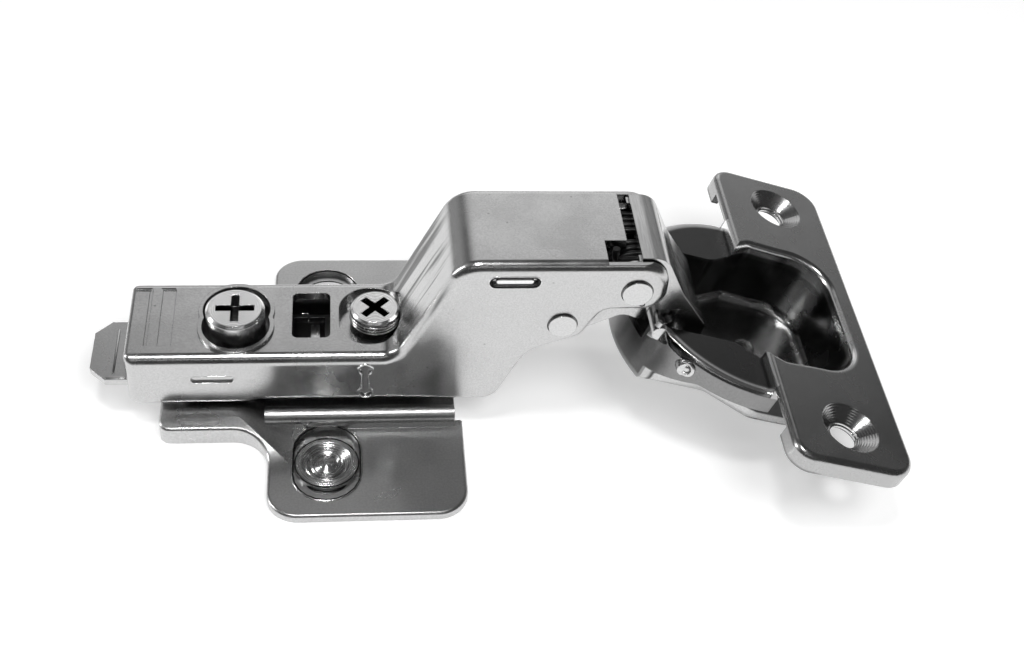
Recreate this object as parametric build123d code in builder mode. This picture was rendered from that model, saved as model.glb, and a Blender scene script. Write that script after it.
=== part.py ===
"""Concealed cup hinge: a clip-on, full-crank arm with a 35 mm cup and a wing mounting plate.

Millimetres. The origin is midway between the mounting plate's two screws, on the cabinet side that the
plate is screwed to. +X runs along the arm towards the door, +Y along the screw line, +Z off the cabinet.
The hinge is modelled fully open.
"""

import os
from math import atan2, cos, hypot, radians, sin, sqrt, tan

from build123d import *

os.makedirs("parts", exist_ok=True)

# ---------------------------------------------------------------- driving dimensions
# sheet and fits
SHEET = 1.2  # arm and plate steel
RUN_FIT = 0.05  # radial clearance of a pin in its bore
SIDE_GAP = 0.3  # sideways gap between nested walls
BEND = 1.4  # outer radius of a folded edge

# mounting plate
SCREW_SPACING = 32.0
PLATE_HALF_LENGTH = 25.3
PLATE_LEFT = -8.0
PLATE_RIGHT = 19.0
PLATE_CORNER = 4.2
SLOT_WIDTH = 9.3
SLOT_LENGTH = 13.3
SLOT_SEAT_Z = 0.5  # ledge that a screw seat rests on
SLOT_THROUGH_WIDTH = 6.2
SEAT_HOLE_R = 2.3
RIDGE_TOP = 3.2
RIDGE_END = 17.8
RIDGE_HALF = 8.6
RAIL_R = 1.4  # bead along each shoulder of the ridge
TAIL_LEFT = -22.8  # the plate's rear extension
TAIL_HALF = 11.2
TAIL_SWEEP = 5.0
TAIL_SLOPE = 6.5  # length over which the tail comes down to the wings
TAIL_SLOPE_BEND = 13.0
PLATE_EDGE_R = 0.45
CLAW_WINDOW = (4.6, 9.4)  # along and across, for the release lever's claw
LUG_BACK = 1.9  # hook lugs, behind and ahead of their pin, over it and their sheet
LUG_AHEAD = 2.4
LUG_OVER = 1.8
LUG_SHEET = 1.4
LUG_SIDE = 3.9

# hinge arm
ARM_HALF = 7.75
NOSE_HALF = 8.1
ARM_REAR = -26.8
ARM_TOP = 12.9
ARM_WALL_BOTTOM = 4.3
ARM_TAIL_BOTTOM = 3.8
CRANK_FOOT_X = 9.3
CRANK_HEAD_X = 17.3
CRANK_HEIGHT = 16.9
CRANK_FOOT_BEND = 3.0
CRANK_HEAD_BEND = 4.6
CRANK_SIDE_BLEND = 12.0
NOSE_LENGTH = 22.4  # from the crank's head to the roof's front edge
EAR_AHEAD = 4.3  # the ears' tips ahead of the front pin, and their lower edge under it
EAR_BELOW = 3.6
EAR_TOP_DROP = 0.3
EAR_NOTCH = 3.0  # how far the ears' slits run back from the roof's front edge
PIN_A_AHEAD = 1.25  # front pin, ahead of and below the roof's front edge
PIN_A_DROP = 4.7
PIN_B_BACK = 9.4  # rear pin, behind and below the front one
PIN_B_DROP = 5.8
BOWL_LENGTH = 11.2  # drawn bowl round the side screw
BOWL_WIDTH = 8.6
BOWL_DEPTH = 1.8
BOWL_SHEET = 1.0
CAM_LOBE_SHIFT = 1.5  # the cam's opening has two lobes, with a raised collar
CAM_LOBE_R = 4.6
COLLAR_WIDTH = 0.6
COLLAR_PROUD = 0.4
WINDOW_AT = (-2.0, 0.7)
WINDOW_SIZE = (5.2, 8.8)
GROOVE_LENGTH = 11.0
GROOVE_DEPTH = 0.2
WALL_MARK_DEPTH = 0.3
WALL_MARK_X = 5.4
WALL_MARK_Z = (6.2, 10.4)
WALL_MARK_WIDTH = 0.9
WALL_MARK_R = 0.95
TILT_MARK_SIZE = (5.7, 1.1)
NOSE_MARK_IN = 15.1
NOSE_MARK_DROP = 2.8
NOSE_MARK_SIZE = (6.7, 1.9)
NOSE_MARK_DEPTH = 0.6

# linkage
DOOR_TRAVEL = 107.1  # from fully open to closed
OUTER_LINK_LENGTH = 11.38
OUTER_LINK_FALL = 52.6  # slope of the outer link when the hinge is open
PIN_C_IN = 6.15  # cup pins: how far in from the cup's edge, and how far under the flange's top
PIN_C_DROP = 4.25
PIN_D_IN = 2.5
PIN_D_DROP = 2.8
PIN_A_R = 1.3
PIN_R = 1.1
HEAD_A_R = 2.0
HEAD_B_R = 1.9
HEAD_PROUD = 0.4
LINK_SHEET = 1.3
LINK_EYE_R = 3.2  # outer link's eye round the front pin
OPEN_PIVOT_SIDE = 0.95  # room that the inner link's slot gives the rear pin, sideways
OPEN_PIVOT_ALONG = 1.85  # and along the link

# closing spring
SPRING_WIRE_R = 0.5
SPRING_COIL_R = 2.75
SPRING_PITCH = 1.1
SPRING_TURNS = 3.5
COIL_GAP = 0.7  # half the gap between the two coils
BRIDGE_REACH = 2.2
LEG_REACH = 2.9

# cup
CUP_R = 17.5
CUP_DEPTH = 12.0
CUP_SHEET = 1.1
CAVITY_SIDE_ROOM = 4.4  # how far the cavity stays inside its wall's circle, at the sides
CAVITY_END_ROOM = 1.0  # and at the far end
CAVITY_CORNER_ROOM = 8.2  # the cavity's corner radius is smaller than that circle by this
CHANNEL_HALF = 8.4  # the cavity narrows to this towards the pins
CHANNEL_WIDE_X = 2.6  # where it begins to narrow, and where it has narrowed
CHANNEL_NARROW_X = -3.8
CHANNEL_WIDE_BLEND = 2.0
CHANNEL_NARROW_BLEND = 3.6
LEDGE_DROP = 2.0
FLANGE_LEFT = -0.1
FLANGE_BEYOND = 0.7  # how far the flange reaches past the cup, away from the arm
FLANGE_HALF_LENGTH = 29.5
FLANGE_DEPTH = 2.8
CUP_HOLE_X = 9.5
CUP_HOLE_SPACING = 45.0
CUP_HOLE_R = 2.3
DISH_R = 4.25
DISH_DEPTH = 1.7
RIM_R = 0.9  # bends round the flange, the pot's mouth and the ledge
POT_EDGE_R = 1.5
POT_FLOOR_R = 1.5
SKIRT_LOW = -5.2  # lower edge of the ledge's skirt, over the flange's top
SKIRT_END_LOW = -9.3
SKIRT_RISE = (8.3, 4.1, 2.1)  # in from the hinge end, where the lower edge climbs
SKIRT_STEP = 1.2
SKIRT_BLEND = 2.0
HINGE_GAP_LOW = -6.0
HINGE_GAP_LENGTH = 5.5
DIMPLE_AT = (5.0, 1.6)
DIMPLE_R = 1.5
DIMPLE_DEPTH = 0.3
CUP_PIN_PROUD = 0.28
LEDGE_WINDOW_TOP = -2.2  # slot under the ledge's bend, beside the inner pin
LEDGE_WINDOW_LOW = -3.3
LEDGE_WINDOW_FROM = (0.4, 1.6, 3.0)  # from the inner pin: upright side, low edge's ends
LEDGE_WINDOW_TIP = (0.6, 0.8, 0.2)  # from the outer pin: top, tip and the tip's drop
LEDGE_WINDOW_SIDE = 0.4
LEDGE_WINDOW_BLENDS = (0.2, 0.4, 0.6, 0.1)
FLANGE_SKIRT_FROM = 23.8  # the flange's skirt on the hinge side starts this far from the middle

# clip base, adjusting slide and screws
BASE_TOP = 9.0
BASE_SHEET = 1.0
BASE_REAR = -20.5
BASE_FRONT = 15.0
SLIDE_SHEET = 0.8
SLIDE_REAR = -21.5
SLIDE_FRONT = -5.6
CAM_X = -12.2
CAM_Y = -0.8
CAM_HEAD_R = 4.0
CAM_HEAD_PROUD = 2.9
CAM_SHANK_R = 3.25
CAM_PIN_R = 0.9
CAM_THROW = 2.3
DEPTH_TRAVEL = 2.0
CROSS_WIDTH = 1.1
CAM_CROSS_LENGTH = 5.2
CAM_CROSS_DEPTH = 2.2
SIDE_SCREW_X = 6.8
SIDE_SCREW_Y = 1.0
SIDE_HEAD_R = 3.4
SIDE_THREAD_R = 2.6
SIDE_NECK_R = 1.3
SIDE_FOOT_R = 1.9
SIDE_FOOT_HEIGHT = 1.2
SIDE_HEAD_PROUD = 1.2
SIDE_HEAD_HEIGHT = 1.5
SIDE_CROSS_LENGTH = 4.6
SIDE_CROSS_DEPTH = 1.6
FOOT_PLAY = 0.45  # room between the side screw's foot or thread and the base's roof
LEVER_PIN_X = -17.5
LEVER_PIN_Z = 6.2
LEVER_PIN_R = 1.0
LEVER_SHEET = 1.0
LEVER_EYE_WALL = 0.6
LEVER_ARM = 7.0
LEVER_LEG_BACK = 1.7  # the claw's leg, behind the pin and ahead of it
LEVER_LEG_AHEAD = 0.3
CLAW_LOW = 0.7
CLAW_HEIGHT = 1.0
CLAW_AHEAD = 2.0
LEVER_TAB_OUT = 5.4  # how far the tab reaches out of the arm's rear end
LEVER_TAB_CORNER = 2.2
LEVER_TAB_HALF = 5.6
LEVER_WIRE_R = 0.27
LEVER_COIL_PITCH = 0.6
LEVER_COIL_TURNS = 5
HOOK_PIN_X = 13.0
HOOK_PIN_Z = 6.0
TILT_X = -15.3  # axis that the arm rocks about
TILT_Z = 9.0
TILT_BOSS_R = 0.6

# ---------------------------------------------------------------- derived places
NOSE_TOP = ARM_TOP + CRANK_HEIGHT
NOSE_FRONT = CRANK_HEAD_X + NOSE_LENGTH
PIN_A = (NOSE_FRONT + PIN_A_AHEAD, NOSE_TOP - PIN_A_DROP)
PIN_B = (PIN_A[0] - PIN_B_BACK, PIN_A[1] - PIN_B_DROP)
NOSE_INNER = NOSE_HALF - SHEET
ARM_INNER = ARM_HALF - SHEET
OUTER_HALF = NOSE_INNER - SIDE_GAP
INNER_HALF = OUTER_HALF - LINK_SHEET - SIDE_GAP - RUN_FIT

PIN_C = (PIN_C_IN - CUP_R, -PIN_C_DROP)  # from the cup's centre and the flange's top
PIN_D = (PIN_D_IN - CUP_R, -PIN_D_DROP)
CUP_TILT = DOOR_TRAVEL - 90
U_DIR = (cos(radians(CUP_TILT)), -sin(radians(CUP_TILT)))  # along the cup, in x and z
N_DIR = (sin(radians(CUP_TILT)), cos(radians(CUP_TILT)))  # out of the cup


def turned(point, angle):
    """The point turned by an angle in degrees, from the first axis towards the second."""
    c, s = cos(radians(angle)), sin(radians(angle))
    return (point[0] * c - point[1] * s, point[0] * s + point[1] * c)


PIN_C_AT = (
    PIN_A[0] + OUTER_LINK_LENGTH * cos(radians(OUTER_LINK_FALL)),
    PIN_A[1] - OUTER_LINK_LENGTH * sin(radians(OUTER_LINK_FALL)),
)
C_FROM_CUP = turned(PIN_C, -CUP_TILT)
CUP_AT = (PIN_C_AT[0] - C_FROM_CUP[0], PIN_C_AT[1] - C_FROM_CUP[1])
D_FROM_CUP = turned(PIN_D, -CUP_TILT)
PIN_D_AT = (CUP_AT[0] + D_FROM_CUP[0], CUP_AT[1] + D_FROM_CUP[1])

CUP_PLANE = Plane(
    origin=(CUP_AT[0], 0, CUP_AT[1]), x_dir=(U_DIR[0], 0, U_DIR[1]), z_dir=(N_DIR[0], 0, N_DIR[1])
)
INNER_SPAN = hypot(PIN_D_AT[0] - PIN_B[0], PIN_D_AT[1] - PIN_B[1])
INNER_ANGLE = atan2(PIN_D_AT[1] - PIN_B[1], PIN_D_AT[0] - PIN_B[0])
INNER_SIDE = Plane(
    origin=(PIN_B[0], 0, PIN_B[1]), x_dir=(cos(INNER_ANGLE), 0, sin(INNER_ANGLE)), z_dir=(0, -1, 0)
)


# ---------------------------------------------------------------- helpers
def outline(*corners):
    """A closed face through corners given as (x, y) or (x, y, corner radius)."""
    points = [(corner[0], corner[1]) for corner in corners]
    radii = [corner[2] if len(corner) > 2 else 0 for corner in corners]
    with BuildSketch() as face:
        with BuildLine():
            FilletPolyline(*points, radius=radii, close=True)
        make_face()
    return face.sketch


def wall(y):
    """The vertical plane along the arm at this y, drawn in x and z and facing -Y."""
    return Plane.XZ.offset(-y)


def cross_pin(x, z, radius, half_length, head_radius=0.0, head_from=0.0, head_to=0.0):
    """A pin along Y, with a riveted head at each end when a head radius is given."""
    with BuildPart() as pin:
        with BuildSketch(Plane.XZ):
            with Locations((x, z)):
                Circle(radius)
        extrude(amount=half_length, both=True)
        if head_radius:
            for side in (-1, 1):
                with BuildSketch(wall(side * head_from)):
                    with Locations((x, z)):
                        Circle(head_radius)
                extrude(amount=-side * (head_to - head_from))
    return pin.part


def finish(part, name):
    """Labels a finished piece and writes it."""
    part.label = name
    export_step(part, f"parts/{name}.step")


# ---------------------------------------------------------------- mounting plate
slope_from = PLATE_LEFT + TAIL_SWEEP - 2 - TAIL_SLOPE
slope_side = TAIL_HALF + TAIL_SWEEP
with BuildPart() as mounting_plate:
    # pressed sheet: the tail is raised, and slopes down into the two wings
    with BuildSketch(Plane.XZ):
        add(
            outline(
                (TAIL_LEFT, 0),
                (TAIL_LEFT, RIDGE_TOP),
                (slope_from, RIDGE_TOP, TAIL_SLOPE_BEND),
                (slope_from + TAIL_SLOPE, SHEET, TAIL_SLOPE_BEND),
                (PLATE_RIGHT, SHEET),
                (PLATE_RIGHT, 0),
            )
        )
    extrude(amount=PLATE_HALF_LENGTH, both=True)
    with BuildSketch(Plane.YZ):
        add(
            outline(
                (-PLATE_HALF_LENGTH, 0),
                (-PLATE_HALF_LENGTH, SHEET),
                (-slope_side, SHEET, TAIL_SLOPE_BEND),
                (TAIL_SLOPE - slope_side, RIDGE_TOP, TAIL_SLOPE_BEND),
                (slope_side - TAIL_SLOPE, RIDGE_TOP, TAIL_SLOPE_BEND),
                (slope_side, SHEET, TAIL_SLOPE_BEND),
                (PLATE_HALF_LENGTH, SHEET),
                (PLATE_HALF_LENGTH, 0),
            )
        )
    extrude(amount=PLATE_RIGHT - TAIL_LEFT, both=True, mode=Mode.INTERSECT)
    with BuildSketch():
        add(
            outline(
                (TAIL_LEFT, -TAIL_HALF, 1.5),
                (PLATE_LEFT, -TAIL_HALF, TAIL_SWEEP),
                (PLATE_LEFT, -PLATE_HALF_LENGTH, PLATE_CORNER),
                (PLATE_RIGHT, -PLATE_HALF_LENGTH, PLATE_CORNER),
                (PLATE_RIGHT, PLATE_HALF_LENGTH, PLATE_CORNER),
                (PLATE_LEFT, PLATE_HALF_LENGTH, PLATE_CORNER),
                (PLATE_LEFT, TAIL_HALF, TAIL_SWEEP),
                (TAIL_LEFT, TAIL_HALF, 1.5),
            )
        )
    extrude(amount=RIDGE_TOP + 1, mode=Mode.INTERSECT)
    rim_edges = [
        edge
        for face in mounting_plate.faces()
        if abs(face.normal_at().Z) < 0.01
        for edge in face.edges()
        if abs((edge % 0.5).Z) < 0.9 and edge.center().Z > SHEET / 2
    ]
    fillet(rim_edges, PLATE_EDGE_R)
    # central ridge with a rounded rail along each shoulder
    with BuildSketch(Plane.YZ.offset(PLATE_LEFT - 0.5)):
        Rectangle(2 * RIDGE_HALF, RIDGE_TOP, align=(Align.CENTER, Align.MIN))
        with Locations((-RIDGE_HALF, RIDGE_TOP - 1.0), (RIDGE_HALF, RIDGE_TOP - 1.0)):
            Circle(RAIL_R)
        Rectangle(2 * (RIDGE_HALF + RAIL_R), RIDGE_TOP - 1.0, align=(Align.CENTER, Align.MIN))
    extrude(amount=RIDGE_END - PLATE_LEFT + 0.5)
    # hollow underside
    with BuildSketch(Plane.YZ.offset(TAIL_LEFT + SHEET)):
        Rectangle(2 * (RIDGE_HALF + RAIL_R - SHEET), RIDGE_TOP - SHEET, align=(Align.CENTER, Align.MIN))
    extrude(amount=RIDGE_END - TAIL_LEFT, mode=Mode.SUBTRACT)
    # screw slots: a coined ledge round a through slot
    with BuildSketch(Plane.XY.offset(SLOT_SEAT_Z)):
        with Locations((0, -SCREW_SPACING / 2), (0, SCREW_SPACING / 2)):
            SlotOverall(SLOT_LENGTH, SLOT_WIDTH, rotation=90)
    extrude(amount=SHEET, mode=Mode.SUBTRACT)
    with BuildSketch():
        with Locations((0, -SCREW_SPACING / 2), (0, SCREW_SPACING / 2)):
            SlotOverall(
                SLOT_LENGTH - SLOT_WIDTH + SLOT_THROUGH_WIDTH, SLOT_THROUGH_WIDTH, rotation=90
            )
    extrude(amount=SHEET, mode=Mode.SUBTRACT)
    # window for the release lever's claw
    with BuildSketch(Plane.XY.offset(RIDGE_TOP - SHEET)):
        with Locations((LEVER_PIN_X - 0.7, 0)):
            Rectangle(*CLAW_WINDOW)
    extrude(amount=SHEET, mode=Mode.SUBTRACT)
    # hook lugs that hold the base's front pin
    with BuildSketch(wall(-LUG_SIDE)):
        add(
            outline(
                (HOOK_PIN_X - LUG_BACK, RIDGE_TOP - 0.5),
                (HOOK_PIN_X - LUG_BACK, HOOK_PIN_Z + LUG_OVER, 1.2),
                (HOOK_PIN_X + LUG_AHEAD, HOOK_PIN_Z + LUG_OVER, 1.2),
                (HOOK_PIN_X + LUG_AHEAD, RIDGE_TOP - 0.5),
            )
        )
    extrude(amount=-LUG_SHEET)
    mirror(about=Plane.XZ)
    with BuildSketch(Plane.XZ):
        with Locations((HOOK_PIN_X, HOOK_PIN_Z)):
            Circle(LEVER_PIN_R + RUN_FIT + 0.2)
        with Locations((HOOK_PIN_X + LUG_AHEAD / 2 + 0.1, HOOK_PIN_Z)):
            Rectangle(LUG_AHEAD + 0.2, 2 * (LEVER_PIN_R + RUN_FIT + 0.2))
    extrude(amount=LUG_SIDE + LUG_SHEET, both=True, mode=Mode.SUBTRACT)
finish(mounting_plate.part, "mounting_plate")


# ---------------------------------------------------------------- screw seats
def screw_seat(y):
    """A dished washer that carries one cabinet screw and slides in its slot."""
    seat_r = SLOT_WIDTH / 2 - 0.25
    bowl_r = SLOT_THROUGH_WIDTH / 2 - 0.25
    with BuildPart() as seat:
        with BuildSketch(Plane.XZ):
            add(
                outline(
                    (SEAT_HOLE_R, 0.1),
                    (bowl_r, 0.1),
                    (bowl_r, SLOT_SEAT_Z),
                    (seat_r, SLOT_SEAT_Z),
                    (seat_r, SHEET - 0.15),
                    (seat_r - 0.9, SHEET),
                    (SEAT_HOLE_R, 0.45),
                )
            )
        revolve(axis=Axis.Z)
    return Pos(0, y, 0) * seat.part


for seat_name, seat_y in (("height_seat_near", -SCREW_SPACING / 2), ("height_seat_far", SCREW_SPACING / 2)):
    finish(screw_seat(seat_y), seat_name)

# ---------------------------------------------------------------- clip base
slide_half = ARM_INNER - SIDE_GAP / 1.5
base_half = slide_half - SLIDE_SHEET - SIDE_GAP / 1.5
base_inner = base_half - BASE_SHEET
with BuildPart() as clip_base:
    with BuildSketch(Plane.XZ):
        add(
            outline(
                (BASE_REAR, RIDGE_TOP, 0.5),
                (BASE_REAR, BASE_TOP, 1.0),
                (BASE_FRONT, BASE_TOP, 1.0),
                (BASE_FRONT, RIDGE_TOP, 0.5),
            )
        )
    extrude(amount=base_half, both=True)
    fillet(clip_base.edges().filter_by(Axis.X).group_by(Axis.Z)[-1], BASE_SHEET)
    with BuildSketch(Plane.XZ):
        with Locations(((BASE_REAR + BASE_FRONT) / 2, (RIDGE_TOP + BASE_TOP - BASE_SHEET) / 2)):
            Rectangle(BASE_FRONT - BASE_REAR + 2, BASE_TOP - BASE_SHEET - RIDGE_TOP)
    extrude(amount=base_inner, both=True, mode=Mode.SUBTRACT)
    # cross slot for the cam's throw pin, long slot for the side screw's foot, sight window
    with BuildSketch(Plane.XY.offset(BASE_TOP - BASE_SHEET)):
        with Locations((CAM_X, CAM_Y + CAM_THROW * 0.75)):
            SlotOverall(2 * CAM_PIN_R + CAM_THROW * 0.5 + 1.0, 2 * CAM_PIN_R + 0.5, rotation=90)
        with Locations((SIDE_SCREW_X, SIDE_SCREW_Y)):
            SlotOverall(2 * (SIDE_NECK_R + DEPTH_TRAVEL + 0.3), 2 * (SIDE_NECK_R + 0.3))
        with Locations((-2.4, 1.9)):
            Rectangle(4.4, 4.6)
    extrude(amount=BASE_SHEET, mode=Mode.SUBTRACT)
    # bores for the lever's pin and the front hook pin
    with BuildSketch(Plane.XZ):
        with Locations((LEVER_PIN_X, LEVER_PIN_Z), (HOOK_PIN_X, HOOK_PIN_Z)):
            Circle(LEVER_PIN_R)
    extrude(amount=base_half, both=True, mode=Mode.SUBTRACT)
finish(clip_base.part, "clip_base")

finish(cross_pin(HOOK_PIN_X, HOOK_PIN_Z, LEVER_PIN_R, base_half), "front_hook_pin")
finish(cross_pin(LEVER_PIN_X, LEVER_PIN_Z, LEVER_PIN_R, base_half), "lever_pin")

# ---------------------------------------------------------------- release lever
lever_half = base_inner - SIDE_GAP
tab_z = LEVER_PIN_Z - 0.2
claw_back = LEVER_PIN_X - LEVER_LEG_BACK
leg_front = LEVER_PIN_X + LEVER_LEG_AHEAD
claw_tip = LEVER_PIN_X + CLAW_AHEAD
tab_tip = ARM_REAR - LEVER_TAB_OUT
with BuildPart() as release_lever:
    # cheeks: an eye on the pin, a leg down to the claw and an arm to the rear
    with BuildSketch(wall(-lever_half)):
        with Locations((LEVER_PIN_X, LEVER_PIN_Z)):
            Circle(LEVER_PIN_R + LEVER_EYE_WALL)
        add(
            outline(
                (claw_back, LEVER_PIN_Z),
                (claw_back, CLAW_LOW, 0.4),
                (claw_tip, CLAW_LOW, 0.3),
                (claw_tip, CLAW_LOW + CLAW_HEIGHT, 0.3),
                (leg_front, CLAW_LOW + CLAW_HEIGHT + 0.2, 0.4),
                (leg_front, LEVER_PIN_Z),
            )
        )
        add(
            outline(
                (LEVER_PIN_X - LEVER_ARM, tab_z),
                (LEVER_PIN_X, LEVER_PIN_Z - LEVER_PIN_R - LEVER_EYE_WALL + 0.1),
                (LEVER_PIN_X, LEVER_PIN_Z + LEVER_PIN_R + LEVER_EYE_WALL - 0.4),
                (LEVER_PIN_X - LEVER_ARM, tab_z + LEVER_SHEET),
            )
        )
    extrude(amount=-LEVER_SHEET)
    mirror(about=Plane.XZ)
    # web behind the claw and the rear tab with its clipped corners
    with BuildSketch(Plane.XY.offset(tab_z)):
        with Locations((ARM_REAR, 0)):
            Rectangle(
                LEVER_PIN_X - LEVER_PIN_R - LEVER_PIN_R - ARM_REAR,
                2 * lever_half,
                align=(Align.MIN, Align.CENTER),
            )
        add(
            outline(
                (ARM_REAR + SHEET, -LEVER_TAB_HALF),
                (tab_tip + LEVER_TAB_CORNER, -LEVER_TAB_HALF),
                (tab_tip, LEVER_TAB_CORNER - LEVER_TAB_HALF),
                (tab_tip, LEVER_TAB_HALF - LEVER_TAB_CORNER),
                (tab_tip + LEVER_TAB_CORNER, LEVER_TAB_HALF),
                (ARM_REAR + SHEET, LEVER_TAB_HALF),
            )
        )
    extrude(amount=LEVER_SHEET)
    with BuildSketch(wall(-lever_half)):
        with Locations((claw_back, CLAW_LOW + CLAW_HEIGHT - 0.5)):
            Rectangle(LEVER_SHEET, 3.0, align=(Align.MIN, Align.MIN))
    extrude(amount=-2 * lever_half)
    with BuildSketch(Plane.XZ):
        with Locations((LEVER_PIN_X, LEVER_PIN_Z)):
            Circle(LEVER_PIN_R + RUN_FIT)
    extrude(amount=base_half, both=True, mode=Mode.SUBTRACT)
finish(release_lever.part, "release_lever")


# ---------------------------------------------------------------- springs
def coil(x, z, radius, wire, pitch, turns, start_y):
    """A helical coil round an axis along Y, starting at this y."""
    with BuildPart() as spring:
        with BuildLine() as turn_line:
            Helix(pitch, pitch * turns, radius, center=(x, start_y, z), direction=(0, 1, 0))
        with BuildSketch(Plane(origin=turn_line.line @ 0, z_dir=turn_line.line % 0)):
            Circle(wire)
        sweep(path=turn_line.line, is_frenet=True)
    return spring.part


lever_spring = coil(
    LEVER_PIN_X,
    LEVER_PIN_Z,
    LEVER_PIN_R + LEVER_WIRE_R + 0.03,
    LEVER_WIRE_R,
    LEVER_COIL_PITCH,
    LEVER_COIL_TURNS,
    -LEVER_COIL_PITCH * LEVER_COIL_TURNS / 2,
)
finish(lever_spring, "lever_spring")

# ---------------------------------------------------------------- adjusting slide
slide_top = BASE_TOP + SIDE_GAP + SLIDE_SHEET
with BuildPart() as adjusting_slide:
    with BuildSketch(Plane.XZ):
        add(
            outline(
                (SLIDE_REAR, ARM_WALL_BOTTOM + 0.7, 0.6),
                (SLIDE_REAR, slide_top, 0.6),
                (SLIDE_FRONT, slide_top, 0.6),
                (SLIDE_FRONT, ARM_WALL_BOTTOM + 0.7, 0.6),
            )
        )
    extrude(amount=slide_half, both=True)
    fillet(adjusting_slide.edges().filter_by(Axis.X).group_by(Axis.Z)[-1], SLIDE_SHEET)
    with BuildSketch(Plane.XZ):
        with Locations(((SLIDE_REAR + SLIDE_FRONT) / 2, (slide_top - SLIDE_SHEET) / 2)):
            Rectangle(SLIDE_FRONT - SLIDE_REAR + 2, slide_top - SLIDE_SHEET)
    extrude(amount=slide_half - SLIDE_SHEET, both=True, mode=Mode.SUBTRACT)
    with BuildSketch(Plane.XY.offset(slide_top - SLIDE_SHEET)):
        with Locations((CAM_X, CAM_Y)):
            Circle(CAM_SHANK_R + RUN_FIT)
    extrude(amount=SLIDE_SHEET, mode=Mode.SUBTRACT)
    # round bosses that the arm rocks on
    with BuildSketch(Plane.XZ.offset(slide_half)):
        with Locations((TILT_X, TILT_Z)):
            Circle(TILT_BOSS_R)
    extrude(amount=SIDE_GAP / 2)
    with BuildSketch(Plane.XZ.offset(-slide_half)):
        with Locations((TILT_X, TILT_Z)):
            Circle(TILT_BOSS_R)
    extrude(amount=-SIDE_GAP / 2)
finish(adjusting_slide.part, "adjusting_slide")


# ---------------------------------------------------------------- screws
def cut_cross(x, y, top, length, width, depth, turn):
    """The driver recess of a screw head, as a private part to take away."""
    with BuildPart() as cross:
        with BuildSketch(Plane.XY.offset(top)):
            with Locations((x, y)):
                Rectangle(length, width, rotation=turn)
                Rectangle(length, width, rotation=turn + 90)
        extrude(amount=-depth)
    return cross.part


cam_top = ARM_TOP + CAM_HEAD_PROUD
with BuildPart() as depth_cam_screw:
    with BuildSketch(Plane.XY.offset(slide_top + 0.2)):
        with Locations((CAM_X, CAM_Y)):
            Circle(CAM_HEAD_R)
    extrude(amount=cam_top - slide_top - 0.2)
    chamfer(depth_cam_screw.faces().sort_by(Axis.Z)[-1].edges(), 0.4)
    with BuildSketch(Plane.XY.offset(BASE_TOP + 0.1)):
        with Locations((CAM_X, CAM_Y)):
            Circle(CAM_SHANK_R)
    extrude(amount=slide_top - BASE_TOP + 0.2)
    with BuildSketch(Plane.XY.offset(BASE_TOP - BASE_SHEET - 0.6)):
        with Locations((CAM_X, CAM_Y + CAM_THROW)):
            Circle(CAM_PIN_R)
    extrude(amount=BASE_SHEET + 0.9)
    add(
        cut_cross(CAM_X, CAM_Y, cam_top, CAM_CROSS_LENGTH, CROSS_WIDTH, CAM_CROSS_DEPTH, 0),
        mode=Mode.SUBTRACT,
    )
finish(depth_cam_screw.part, "depth_cam_screw")

side_top = ARM_TOP + SIDE_HEAD_PROUD
side_head_low = side_top - SIDE_HEAD_HEIGHT
bowl_floor = ARM_TOP - BOWL_DEPTH
with BuildPart() as side_screw:
    with BuildSketch(Plane.XY.offset(side_head_low)):
        with Locations((SIDE_SCREW_X, SIDE_SCREW_Y)):
            Circle(SIDE_HEAD_R)
    extrude(amount=SIDE_HEAD_HEIGHT)
    chamfer(side_screw.faces().sort_by(Axis.Z)[-1].edges(), 0.3)
    with BuildSketch(Plane.XY.offset(BASE_TOP + FOOT_PLAY)):
        with Locations((SIDE_SCREW_X, SIDE_SCREW_Y)):
            Circle(SIDE_THREAD_R)
    extrude(amount=side_head_low - BASE_TOP - FOOT_PLAY)
    with BuildSketch(Plane.XY.offset(BASE_TOP - BASE_SHEET - FOOT_PLAY)):
        with Locations((SIDE_SCREW_X, SIDE_SCREW_Y)):
            Circle(SIDE_NECK_R)
    extrude(amount=BASE_SHEET + 2 * FOOT_PLAY)
    with BuildSketch(Plane.XY.offset(BASE_TOP - BASE_SHEET - FOOT_PLAY)):
        with Locations((SIDE_SCREW_X, SIDE_SCREW_Y)):
            Circle(SIDE_FOOT_R)
    extrude(amount=-SIDE_FOOT_HEIGHT)
    add(
        cut_cross(
            SIDE_SCREW_X, SIDE_SCREW_Y, side_top, SIDE_CROSS_LENGTH, CROSS_WIDTH, SIDE_CROSS_DEPTH, 45
        ),
        mode=Mode.SUBTRACT,
    )
finish(side_screw.part, "side_screw")

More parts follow.
